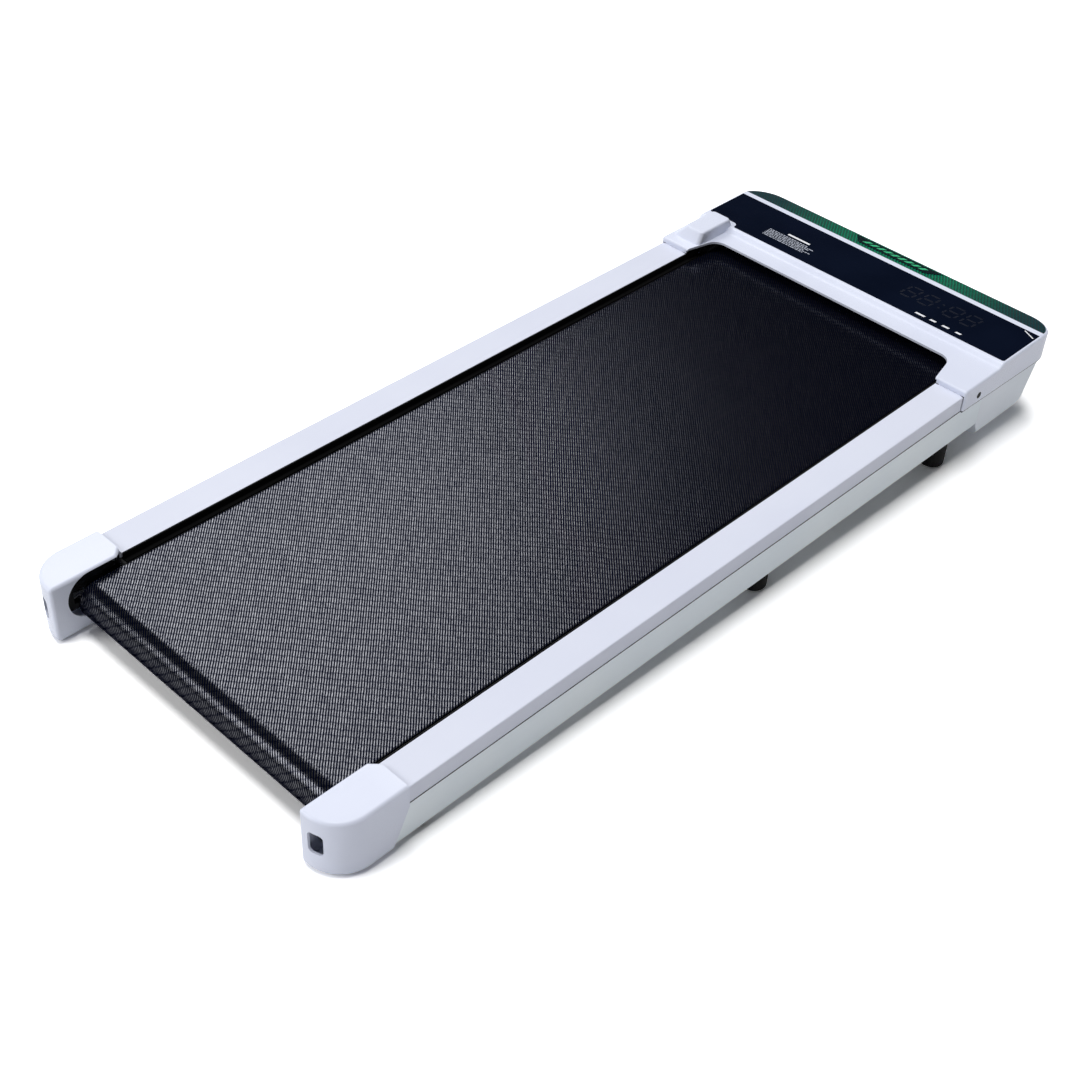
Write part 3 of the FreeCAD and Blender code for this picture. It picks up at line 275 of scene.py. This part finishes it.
def belt_profile(half_width):
    """Ring of x and inset pairs round the belt's section: a flat bar with quarter-round edges, and a narrow flat before
    each edge that keeps the wide face's normals level. The inset is measured inwards from the walking face."""
    quarter = np.linspace(0, math.pi / 2, belt_edge_steps)
    across = np.append(half_width - belt_edge_flat, half_width - belt_edge_radius * (1 - np.sin(quarter)))
    inset = np.append(0, belt_edge_radius * (1 - np.cos(quarter)))
    upper = np.stack([across, inset], axis=-1)
    lower = np.stack([across, belt_thickness - inset], axis=-1)[::-1]
    right = np.concatenate([upper, lower])
    return np.concatenate([right, right[::-1] * (-1, 1)])


def woven_belt():
    """Belt section carried round the loop: x from the section, y and z from the axle line plus (radius - inset) times
    the outward direction. The UV map holds x and the travelled length in metres."""
    low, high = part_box("running_belt")
    place, outward, travel, radius = belt_path()
    ring = belt_profile((high.x - low.x) / 2)
    steps, sides = len(place) - 1, len(ring)
    reach = radius - ring[:, 1]
    across = np.broadcast_to(ring[:, 0], (steps, sides))
    along = place[:-1, None] + outward[:-1, :1] * reach
    rise = outward[:-1, 1:] * reach - roller_axis_drop
    points = to_row(np.stack([across, along, rise], axis=-1))
    piece = new_piece("walking_belt", points, ring_faces(steps, sides, True).tolist())
    u = ring[:, 0]
    corner_u = np.stack([u, u, np.roll(u, -1), np.roll(u, -1)], axis=-1)
    corner_v = np.stack([travel[:-1], travel[1:], travel[1:], travel[:-1]], axis=-1)
    uv = np.stack([np.broadcast_to(corner_u[None], (steps, sides, 4)),
                   np.broadcast_to(corner_v[:, None], (steps, sides, 4))], axis=-1)
    piece.data.uv_layers.new(name="weave").data.foreach_set("uv", uv.astype(np.float32).ravel())
    piece.data.polygons.foreach_set("use_smooth", np.ones(steps * sides, bool))
    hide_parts("running_belt")
    return piece


def strand(name, path, first, second):
    """Rounded strand along an open path of deck points. At each point the section is path + cos(t) first + sin(t)
    second, for t once round, with the two half axes given at each point; flat ends close it."""
    turn = np.arange(4 * shade_strand_steps) * math.pi / (2 * shade_strand_steps)
    cosine, sine = np.cos(turn)[None, :, None], np.sin(turn)[None, :, None]
    rings = path[:, None] + cosine * first[:, None] + sine * second[:, None]
    steps, sides = rings.shape[:2]
    ends = [list(range(sides)), list(range(steps * sides - 1, (steps - 1) * sides - 1, -1))]
    return new_piece(name, to_row(rings), ring_faces(steps, sides, False).tolist() + ends)


def rail_shade_bead(name, side):
    """Dark bead over the gap between a rail's skirt and its beam, from the rail's rear end to its front end; its
    darkness is painted shade for the gap's shadow line.
    """
    rail = node_points("side_rail_right")
    outer = rail[:, 0].max()
    along = np.array((rail[:, 1].max(), rail[:, 1].min()))[::side]
    middle = (rail_gap_low + rail_gap_high) / 2
    path = np.stack([np.full(2, side * outer), along, np.full(2, middle)], axis=-1)
    first = np.tile((side * rail_shade_proud, 0, 0), (2, 1))
    second = np.tile((0, 0, (rail_gap_high - rail_gap_low) / 2 + rail_shade_lap), (2, 1))
    return strand(name, path, first, second)


def hood_shade_strip():
    """Dark strip under the hood's lower rim, painted shade for the shadow line under the rim: along the right side,
    round both front corners by quarter circles and back along the left side, at the rim's height, which falls evenly
    from rear to front."""
    hood = node_points("hood_top_cover")
    side, rear, front = hood[:, 0].max(), hood[:, 1].min(), hood[:, 1].max()
    turn = np.linspace(0, math.pi / 2, hood_corner_steps)
    half = np.stack([np.append(side, side - hood_corner + hood_corner * np.cos(turn)),
                     np.append(rear, front - hood_corner + hood_corner * np.sin(turn))], axis=-1)
    outward = np.stack([np.cos(np.append(0, turn)), np.sin(np.append(0, turn))], axis=-1)
    outward = np.concatenate([outward, outward[::-1] * (-1, 1)])
    rim = np.concatenate([half, half[::-1] * (-1, 1)]) - outward * hood_wall / 2
    height = hood_seam_rear + (hood_seam_front - hood_seam_rear) * (rim[:, 1] - rear) / (front - rear)
    path = np.concatenate([rim, height[:, None] - hood_shade_drop / 2], axis=-1)
    first = np.concatenate([outward * hood_wall / 2, np.zeros((len(outward), 1))], axis=-1)
    second = np.tile((0, 0, -hood_shade_drop / 2), (len(path), 1))
    return strand("hood_rim_shade_strip", path, first, second)


def screw_recess_shade():
    """Dark dished ring round each side screw of the hood, painted shade that widens the dark recess round the screw:
    radius and rise pairs turned about the screw's axis, from the outer foot over the lip and down to the screw head."""
    points = node_points("cover_screws")
    reach = points[:, 0].max()
    middle = points[points[:, 0] > reach - hood_wall / 2].mean(axis=0)
    profile = np.array([(cup_radius, 0), (cup_radius - cup_lip / 2, cup_rise), (cup_radius - cup_lip, cup_rise),
                        (cup_radius / 2, cup_rise / 4), (cup_hole, cup_rise / 8), (cup_hole, 0)])
    turn = np.arange(cup_sides) * 2 * math.pi / cup_sides
    height = np.broadcast_to(profile[:, 1, None], (len(profile), cup_sides))
    cup = np.stack([height, profile[:, :1] * np.cos(turn), profile[:, :1] * np.sin(turn)], axis=-1)
    right = cup + (reach, middle[1], middle[2])
    steps = len(profile)
    faces = ring_faces(steps, cup_sides, True)[:, [0, 3, 2, 1]]
    both = np.stack([right, right * (-1, 1, 1)])
    all_faces = np.concatenate([faces, faces[:, ::-1] + steps * cup_sides])
    return new_piece("hood_screw_recess_shade", to_row(both), all_faces.tolist())


# Finishes

class Value:
    """A socket in a finish. Arithmetic on it adds Math nodes."""

    def __init__(self, finish, socket):
        self.finish = finish
        self.socket = socket

    def out(self, name):
        """Another output of the same node."""
        return Value(self.finish, self.socket.node.outputs[name])

    def math(self, operation, *terms):
        return self.finish.add("Math", {"operation": operation}, dict(enumerate(terms)))

    def __add__(self, other):
        return self.math("ADD", self, other)

    def __sub__(self, other):
        return self.math("SUBTRACT", self, other)

    def __rsub__(self, other):
        return self.math("SUBTRACT", other, self)

    def __mul__(self, other):
        return self.math("MULTIPLY", self, other)

    def __truediv__(self, other):
        return self.math("DIVIDE", self, other)

    def __abs__(self):
        return self.math("ABSOLUTE", self)

    __radd__ = __add__
    __rmul__ = __mul__

    def fraction(self):
        return self.math("FRACT", self)

    def floor(self):
        return self.math("FLOOR", self)

    def least(self, other):
        return self.math("MINIMUM", self, other)

    def most(self, other):
        return self.math("MAXIMUM", self, other)

    def ease(self, low, high):
        """0 below low, 1 above high and a smooth step between them."""
        return self.finish.add("MapRange", {"interpolation_type": "SMOOTHSTEP"}, {0: self, 1: low, 2: high})


class Finish:
    """A material, or the world where it is given, and its node tree."""

    def __init__(self, name, world=None):
        self.material = world or bpy.data.materials.new(name)
        self.material.use_nodes = True
        self.tree = self.material.node_tree
        self.tree.nodes.clear()

    def add(self, kind, settings=None, inputs=None):
        """Adds a node of a kind, makes its settings, then fills its sockets. Gives its first enabled output."""
        node = self.tree.nodes.new("ShaderNode" + kind)
        for name, value in (settings or {}).items():
            setattr(node, name, value)
        for name, value in (inputs or {}).items():
            if isinstance(value, Value):
                self.tree.links.new(value.socket, node.inputs[name])
            else:
                node.inputs[name].default_value = value
        shown = [socket for socket in node.outputs if socket.enabled]
        return Value(self, shown[0]) if shown else None

    def object_place(self):
        return self.add("TexCoord").out("Object")

    def deck_place(self):
        """x and y in the deck's own frame."""
        vector = self.add("Mapping", {"vector_type": "TEXTURE"},
                          {"Vector": self.object_place(), "Location": deck_origin, "Rotation": (deck_tilt, 0, 0)})
        parts = self.add("SeparateXYZ", None, {0: vector})
        return parts.out("X"), parts.out("Y")

    def noise(self, scale, detail=2.0, roughness=0.5, vector=None):
        """Noise of a scale in cells per metre, 0 to 1 round a half."""
        return self.add("TexNoise", None, {"Vector": vector or self.object_place(), "Scale": scale,
                                           "Detail": detail, "Roughness": roughness})

    def mix(self, share, first, second):
        """Colour from first to second."""
        return self.add("Mix", {"data_type": "RGBA"}, {0: share, 6: first, 7: second})

    def bump(self, height, depth):
        """Normal of a surface raised by height times a depth in metres."""
        return self.add("Bump", None, {"Height": height, "Distance": depth, "Strength": 1.0})

    def surface(self, **sockets):
        """Principled surface to the material's output, sockets named with underscores for blanks."""
        inputs = {name.replace("_", " "): value for name, value in sockets.items()}
        shader = self.add("BsdfPrincipled", None, inputs)
        self.add("OutputMaterial", None, {"Surface": shader})
        return self.material


def tone(red, green, blue):
    """Linear colour from display values of 0 to 255."""
    shares = np.array((red, green, blue)) / 255
    linear = np.where(shares <= 0.04045, shares / 12.92, ((shares + 0.055) / 1.055) ** 2.4)
    return (*linear.tolist(), 1.0)


def grained(name, colour, cloud, grain, depth, roughness, spread=0.08, **constants):
    """Even finish: the colour drifts to the cloud colour over a hand's width, a fine grain of so many cells per metre
    raises the surface by a depth, and the roughness varies by a spread with both."""
    finish = Finish(name)
    drift = finish.noise(9.0, 3.0)
    fine = finish.noise(grain, 2.0, 0.6)
    return finish.surface(
        Base_Color=finish.mix(drift.ease(0.35, 0.65), colour, cloud),
        Roughness=roughness + (drift - 0.5) * spread + (fine - 0.5) * spread,
        Normal=finish.bump(fine, depth), **constants)


def painted_steel(name, colour, cloud):
    """Baked paint on sheet steel: a long soft ripple under a fine orange peel."""
    finish = Finish(name)
    drift = finish.noise(7.0, 2.0)
    ripple = finish.noise(260.0, 2.0, 0.45)
    speck = finish.noise(2600.0, 1.0)
    height = ripple * 0.8 + speck * 0.2
    return finish.surface(
        Base_Color=finish.mix(drift.ease(0.3, 0.7), colour, cloud),
        Roughness=0.5 + (speck - 0.5) * 0.12 + (drift - 0.5) * 0.08,
        Normal=finish.bump(height, 0.00005), Specular_IOR_Level=0.4)


def turned_metal(name, colour, shade, roughness, depth):
    """Bare metal turned about the X axis: fine rings across X with scattered brighter and duller bands."""
    finish = Finish(name)
    stretched = finish.add("Mapping", {"vector_type": "POINT"},
                           {"Vector": finish.object_place(), "Scale": (1.0, 0.02, 0.02)})
    rings = finish.noise(3000.0, 3.0, 0.6, stretched)
    bands = finish.noise(120.0, 2.0, 0.5, stretched)
    return finish.surface(
        Base_Color=finish.mix(bands, colour, shade), Metallic=1.0,
        Roughness=roughness + (rings - 0.5) * 0.2, Normal=finish.bump(rings, depth))


def weave_finish():
    """Twill belt: ribs at 45 degrees to the belt's length, one per pitch, each cut into floats that start a step later
    on the next rib. A float is round across and eased at its ends; it shines, and the ground between is dull, its navy
    colour a painted blue sheen.
    Noise lets ribs wander and floats sway; white noise shifts each rib's floats and varies each float's lustre."""
    finish = Finish("belt_twill")
    vector = finish.add("UVMap", {"uv_map": "weave"})
    parts = finish.add("SeparateXYZ", None, {0: vector})
    x, y = parts.out("X"), parts.out("Y")
    half_turn = math.sqrt(0.5)
    wander = (finish.noise(160.0, 1.0) - 0.5) * weave_wander
    ribs = (x + y) * (half_turn / weave_pitch) + wander
    rib = ribs.floor()
    sway = finish.noise(12.0, 1.0) * weave_sway
    jitter = finish.add("TexWhiteNoise", {"noise_dimensions": "1D"}, {"W": rib}) * weave_jitter
    floats = (y - x) * (half_turn / weave_length) + rib * weave_step + sway + jitter
    across = 1 - abs(ribs.fraction() * 2 - 1)
    ends = 1 - abs(floats.fraction() * 2 - 1)
    thread = across.ease(0.35, 0.85) * (0.35 + ends.ease(0.0, 0.45) * 0.65)
    wear = finish.noise(5.0, 3.0)
    fibre = finish.noise(300.0, 2.0, 0.7)
    yarn = finish.add("CombineXYZ", None, {0: rib, 1: floats.floor()})
    lustre = finish.add("TexWhiteNoise", {"noise_dimensions": "2D"}, {"Vector": yarn})
    shine = thread * (0.6 + lustre * 0.3 + (fibre - 0.5) * 1.2)
    return finish.surface(
        # The ground's navy colour is painted sheen, a broad blue reflection put into the colour.
        Base_Color=finish.mix(shine, tone(1, 4, 22), tone(109, 110, 114)),
        Metallic=shine.ease(0.0, 0.06) * weave_metal, Roughness=0.2 + (wear - 0.5) * 0.04,
        Normal=finish.bump(thread, weave_bump), Specular_IOR_Level=0.0, Specular_Tint=weave_edge_tint)


def honeycomb(x, y, pitch):
    """How far a point is from the middle of its six-sided cell, a half at the cell's wall: the lesser of the six-sided
    distances to two brick-set lattices of cell middles."""
    root = math.sqrt(3)
    found = []
    for shift in (0.0, 0.5):
        a = abs((x / pitch + shift).fraction() - 0.5)
        b = abs((y / (pitch * root) + shift).fraction() - 0.5) * root
        found.append(a.most(a * 0.5 + b * (root / 2)))
    return found[0].least(found[1])


def nose_film_finish():
    """Green film with dark six-sided cells between bright lines, bright by the badge and dull teal at the ends."""
    finish = Finish("nose_film")
    x, y = finish.deck_place()
    wall = honeycomb(x, y, nose_cell).ease(0.34, 0.46)
    ends = abs(x).ease(0.05, 0.22)
    line = finish.mix(ends, tone(14, 160, 116), tone(24, 76, 82))
    cell = finish.mix(ends, tone(2, 24, 25), tone(4, 20, 26))
    return finish.surface(
        Base_Color=finish.mix(wall, cell, line), Roughness=0.34 - wall * 0.08,
        Normal=finish.bump(wall, 0.00004), Specular_IOR_Level=0.05)


def panel_finish(name, colour, cloud):
    """Dark acrylic: deep colour with a faint drift, a hard gloss and hair-fine wipe marks."""
    finish = Finish(name)
    drift = finish.noise(14.0, 3.0)
    stretched = finish.add("Mapping", {"vector_type": "POINT"},
                           {"Vector": finish.object_place(), "Scale": (1.0, 0.08, 1.0)})
    wipes = finish.noise(900.0, 2.0, 0.6, stretched)
    return finish.surface(
        Base_Color=finish.mix(drift.ease(0.3, 0.7), colour, cloud),
        Roughness=0.14 + (wipes - 0.5) * 0.06 + (drift - 0.5) * 0.04,
        Normal=finish.bump(wipes, 0.000004), Specular_IOR_Level=0.22)


def board_finish():
    """Laminated fibre board: black facing with the pressed chips showing faintly and a fine grain."""
    finish = Finish("deck_laminate")
    chips = finish.add("TexVoronoi", None, {"Vector": finish.object_place(), "Scale": 420.0})
    fine = finish.noise(1500.0, 3.0, 0.65)
    return finish.surface(
        Base_Color=finish.mix((chips + fine) * 0.6, tone(7, 7, 8), tone(15, 15, 15)),
        Roughness=0.62 + (fine - 0.5) * 0.2, Normal=finish.bump(fine, 0.00006))


def circuit_finish():
    """Printed circuit board: green mask with straight copper runs showing through and tinned pads."""
    finish = Finish("circuit_board")
    x, y = finish.deck_place()
    runs = abs((x / circuit_run).fraction() - 0.5).ease(0.28, 0.34)
    lanes = finish.noise(90.0, 0.0).ease(0.47, 0.53)
    pads = honeycomb(x, y, circuit_pad).ease(0.14, 0.18)
    green = finish.mix(runs * lanes, tone(18, 84, 48), tone(34, 116, 66))
    return finish.surface(
        Base_Color=finish.mix(pads, tone(190, 192, 188), green), Metallic=(1 - pads) * 0.9,
        Roughness=0.35 + pads * 0.1, Normal=finish.bump(runs * lanes - pads, 0.00005))


def printed(name, colour, roughness):
    """Screen ink: the colour with the cloth's faint mesh in its gloss."""
    finish = Finish(name)
    mesh = finish.noise(4200.0, 1.0)
    return finish.surface(
        Base_Color=finish.mix(mesh.ease(0.2, 0.9), colour, tuple(share * 0.9 for share in colour[:3]) + (1.0,)),
        Roughness=roughness + (mesh - 0.5) * 0.15, Normal=finish.bump(mesh, 0.00001))


finishes = {
    "moulded_white": grained("moulded_white", tone(226, 231, 247), tone(222, 227, 244), 2400.0, 0.00003, 0.28,
                             Specular_IOR_Level=0.3),
    "rail_paint": painted_steel("rail_paint", tone(220, 224, 239), tone(216, 220, 236)),
    "beam_paint": painted_steel("beam_paint", tone(241, 249, 255), tone(236, 245, 253)),
    "pan_white": grained("pan_white", tone(236, 242, 252), tone(231, 238, 248), 1800.0, 0.00006, 0.5),
    # Near-black finish of the hood's side screws and the rings round them: black oxide on the screws, darkened further
    # as painted shade for their recess; on the rings wholly painted shade.
    "black_oxide_and_recess_shade": grained("black_oxide_and_recess_shade", tone(9, 9, 11), tone(14, 14, 16), 1500.0, 0.00004, 0.6,
                           Specular_IOR_Level=0.2),
    "black_steel": grained("black_steel", tone(13, 14, 16), tone(17, 18, 20), 1400.0, 0.00008, 0.5,
                           Specular_IOR_Level=0.3),
    "rubber": grained("rubber", tone(9, 9, 10), tone(13, 13, 14), 1800.0, 0.0001, 0.8, Specular_IOR_Level=0.25),
    "moulded_black": grained("moulded_black", tone(10, 11, 13), tone(14, 15, 17), 2600.0, 0.00005, 0.42),
    # Edge guards near-black and nearly without gloss: black plastic, and also painted shade for the dark gap between
    # belt and rails.
    "guard_black_and_gap_shade": grained("guard_black_and_gap_shade", tone(3, 3, 4), tone(6, 6, 7), 2600.0, 0.00005, 0.7, Specular_IOR_Level=0.1),
    "turned_steel": turned_metal("turned_steel", tone(200, 203, 208), tone(168, 171, 178), 0.28, 0.00002),
    "cast_alloy": grained("cast_alloy", tone(176, 179, 184), tone(158, 161, 168), 900.0, 0.00006, 0.38, Metallic=1.0),
    "motor_enamel": grained("motor_enamel", tone(34, 36, 42), tone(28, 30, 35), 700.0, 0.00005, 0.36, Metallic=0.2),
    "dark_component": grained("dark_component", tone(26, 27, 31), tone(38, 39, 44), 1600.0, 0.00005, 0.4),
    "rocker_red": grained("rocker_red", tone(176, 24, 26), tone(160, 20, 22), 2200.0, 0.00004, 0.34),
    "belt_twill": weave_finish(),
    "nose_film": nose_film_finish(),
    "panel_gloss": panel_finish("panel_gloss", tone(5, 12, 29), tone(8, 16, 34)),
    "badge_gloss": panel_finish("badge_gloss", tone(8, 28, 32), tone(11, 34, 37)),
    "deck_laminate": board_finish(),
    "circuit_board": circuit_finish(),
    "white_ink": printed("white_ink", tone(244, 246, 250), 0.35),
    "grey_ink": printed("grey_ink", tone(186, 192, 206), 0.4),
    "ghost_ink": printed("ghost_ink", tone(14, 20, 36), 0.3),
    "green_ink": printed("green_ink", tone(52, 196, 134), 0.35),
}
slot_finishes = {
    "white_plastic": "moulded_white", "white_steel": "rail_paint", "beam_paint": "beam_paint",
    "black_steel": "black_steel", "belt_fabric": "belt_twill", "deck_board": "deck_laminate",
    "black_rubber": "rubber", "black_plastic": "moulded_black", "bright_steel": "turned_steel",
    "motor_casing": "motor_enamel", "alloy": "cast_alloy", "panel_gloss": "panel_gloss",
    "nose_film": "nose_film", "badge_gloss": "badge_gloss", "board_green": "circuit_board",
    "component_dark": "dark_component", "switch_red": "rocker_red",
}
node_finishes = {"hood_belly_pan": "pan_white", "cover_screws": "black_oxide_and_recess_shade",
                 "edge_guard_left": "guard_black_and_gap_shade", "edge_guard_right": "guard_black_and_gap_shade"}


def dress(piece, finish):
    """Gives a piece one finish."""
    piece.data.materials.clear()
    piece.data.materials.append(finishes[finish])


for part in frame["record"]["subparts"]:
    slot_finish = slot_finishes[part["material_slot"]]
    dress(frame["nodes"][part["node"]], node_finishes.get(part["node"], slot_finish))

dress(woven_belt(), "belt_twill")
# The rail beads, the hood strip and the screw rings are dark pieces of painted shade.
dress(rail_shade_bead("rail_shade_bead_right", 1), "rubber")
dress(rail_shade_bead("rail_shade_bead_left", -1), "rubber")
dress(hood_shade_strip(), "rubber")
dress(screw_recess_shade(), "black_oxide_and_recess_shade")

# Printed marks: key bars, ghost digits, lines of dashes with a title bar and a corner line on the panel; badge dashes
panel_top = top_slope("display_panel")
bar_front = bar_y + bar_depth
bar_outlines = [[(left, bar_y), (right, bar_y), (right + bar_lean, bar_front), (left + bar_lean, bar_front)]
                for left, right in bar_rows]
dress(plates("panel_key_bars", bar_outlines, panel_top), "white_ink")

inner = segment_width / 2 + segment_gap
half_height = digit_height / 2
segment_ends = [((inner, 0), (digit_width - inner, 0)), ((inner, half_height), (digit_width - inner, half_height)),
                ((inner, digit_height), (digit_width - inner, digit_height)),
                ((0, inner), (0, half_height - inner)), ((digit_width, inner), (digit_width, half_height - inner)),
                ((0, half_height + inner), (0, digit_height - inner)),
                ((digit_width, half_height + inner), (digit_width, digit_height - inner))]
digit = np.stack([segment(start, end, segment_width) for start, end in segment_ends])
digit[..., 0] += digit_lean * digit[..., 1]
digit_order = np.arange(digit_count)
digit_places = digit_left + digit_pitch * digit_order + colon_room * (digit_order > 1)
digit_corners = np.stack([digit_places, np.full(digit_count, digit_rear)], axis=-1)
digit_outlines = digit[None] + digit_corners[:, None, None, :]
dress(plates("panel_ghost_digits", digit_outlines.reshape(-1, 6, 2), panel_top), "ghost_ink")
colon_x = digit_left + 2 * digit_pitch + colon_room / 2 - (digit_pitch - digit_width) / 2
colon = [disc((colon_x + digit_lean * share * digit_height, digit_rear + share * digit_height), colon_radius,
              colon_sides) for share in colon_shares]
dress(plates("panel_ghost_colon", colon, panel_top), "ghost_ink")

line, word = np.arange(line_count)[:, None], np.arange(word_count)[None, :]
word_length = word_unit * (1 + (3 * word + 5 * line + word * line) % 4)
word_end = line_left + np.cumsum(word_length + word_gap, axis=1) - word_gap
word_rear = line_rear + line_pitch * np.broadcast_to(line, word_end.shape)
kept = word_end < line_right - line_ragged * ((2 * line + 1) % 3)
starts, ends, rears = (word_end - word_length)[kept], word_end[kept], word_rear[kept]
fronts = rears + line_depth
word_corners = ((starts, rears), (ends, rears), (ends, fronts), (starts, fronts))
words = np.stack([np.stack(corner, axis=-1) for corner in word_corners], axis=1)
dress(plates("panel_dash_lines", words, panel_top), "grey_ink")
title = [bar((title_left, title_y), (title_right, title_y), title_depth)]
dress(plates("panel_title_bar", title, panel_top), "white_ink")
dress(plates("panel_corner_line", [bar(*corner_line, corner_line_width)], panel_top), "white_ink")

badge_top = top_slope("nose_badge")
badge_points = node_points("nose_badge")
badge_middle = (badge_points[:, 1].min() + badge_points[:, 1].max()) / 2
dash_x = dash_pitch * (np.arange(dash_count) - (dash_count - 1) / 2)
dash_shape = np.array([(-dash_width - dash_lean, -dash_depth), (dash_width - dash_lean, -dash_depth),
                       (dash_width + dash_lean, dash_depth), (-dash_width + dash_lean, dash_depth)]) / 2
dashes = dash_shape + np.stack([dash_x, np.full(dash_count, badge_middle)], axis=-1)[:, None, :]
dress(plates("badge_dashes", dashes, badge_top), "green_ink")


# Floor, light and camera

def pale_floor():
    """Level square under the feet. Camera rays see it brightest, glossy and clear rays see it white, and other rays
    see its plain tone."""
    finish = Finish("pale_floor")
    seen = finish.add("LightPath")
    mirrored = seen.out("Is Glossy Ray").most(seen.out("Is Transmission Ray"))
    plain, white, bright = ((level, level, level, 1.0) for level in (floor_tone, floor_mirrored, floor_shown))
    grey = finish.mix(seen.out("Is Camera Ray"), finish.mix(mirrored, plain, white), bright)
    diffuse = finish.add("BsdfDiffuse", None, {"Color": grey})
    finish.add("OutputMaterial", None, {"Surface": diffuse})
    mesh = bpy.data.meshes.new("floor")
    corners = [(-floor_half, -floor_half, 0), (floor_half, -floor_half, 0), (floor_half, floor_half, 0),
               (-floor_half, floor_half, 0)]
    mesh.from_pydata(corners, [], [(0, 1, 2, 3)])
    floor = bpy.data.objects.new("floor", mesh)
    floor.data.materials.append(finish.material)
    bpy.context.scene.collection.objects.link(floor)


def studio_room():
    """World round the floor. Cameras see it white; glossy and clear rays see a white backdrop near the horizon that
    fades out higher up; other rays see the dim level of the room."""
    world = bpy.data.worlds.new("studio")
    room = Finish("studio", world)
    seen = room.add("LightPath")
    direction = room.add("TexCoord").out("Generated")
    rise = abs(room.add("SeparateXYZ", None, {0: direction}).out("Z"))
    backdrop = 1 - rise.ease(backdrop_full, backdrop_end)
    mirrored = seen.out("Is Glossy Ray").most(seen.out("Is Transmission Ray")) * backdrop
    dim = tuple(share * world_level for share in world_tint) + (1.0,)
    colour = room.mix(seen.out("Is Camera Ray").most(mirrored), dim, (1.0, 1.0, 1.0, 1.0))
    background = room.add("Background", None, {"Color": colour, "Strength": 1.0})
    room.add("OutputWorld", None, {"Surface": background})
    bpy.context.scene.world = world


def soft_sun(name, azimuth, elevation, level, spread):
    """Sun from an azimuth, anticlockwise from +X, and an elevation in degrees; a white surface square to it shows the
    level, and the disc is a spread of degrees wide."""
    lamp = bpy.data.lights.new(name, "SUN")
    lamp.energy = level * math.pi
    lamp.angle = math.radians(spread)
    sun = bpy.data.objects.new(name, lamp)
    bpy.context.scene.collection.objects.link(sun)
    a, e = math.radians(azimuth), math.radians(elevation)
    source = Vector((math.cos(a) * math.cos(e), math.sin(a) * math.cos(e), math.sin(e)))
    sun.rotation_mode = "QUATERNION"
    sun.rotation_quaternion = source.to_track_quat("Z", "Y")


def photo_camera():
    """Camera of the photograph: out from the anchor along the view direction, slid across and down, then rolled."""
    a, e, roll = math.radians(view_azimuth), math.radians(view_elevation), math.radians(view_roll)
    back = Vector((math.sin(a) * math.cos(e), -math.cos(a) * math.cos(e), math.sin(e)))
    level = Vector((math.cos(a), math.sin(a), 0))
    upright = back.cross(level)
    right = level * math.cos(roll) + upright * math.sin(roll)
    up = upright * math.cos(roll) - level * math.sin(roll)
    place = Vector((0, view_anchor_y, 0)) + back * view_distance + right * view_slide + up * view_drop
    lens = bpy.data.cameras.new("photo_camera")
    lens.lens = view_lens
    lens.sensor_width = view_sensor
    camera = bpy.data.objects.new("photo_camera", lens)
    bpy.context.scene.collection.objects.link(camera)
    turn = deck_turn @ Matrix((right, up, back)).transposed()
    camera.matrix_world = Matrix.Translation(deck_turn @ place + deck_origin) @ turn.to_4x4()
    bpy.context.scene.camera = camera


pale_floor()
for lamp_name, lamp_values in lamps.items():
    soft_sun(lamp_name, *lamp_values)
studio_room()
photo_camera()
bpy.context.scene.view_settings.view_transform = "Standard"
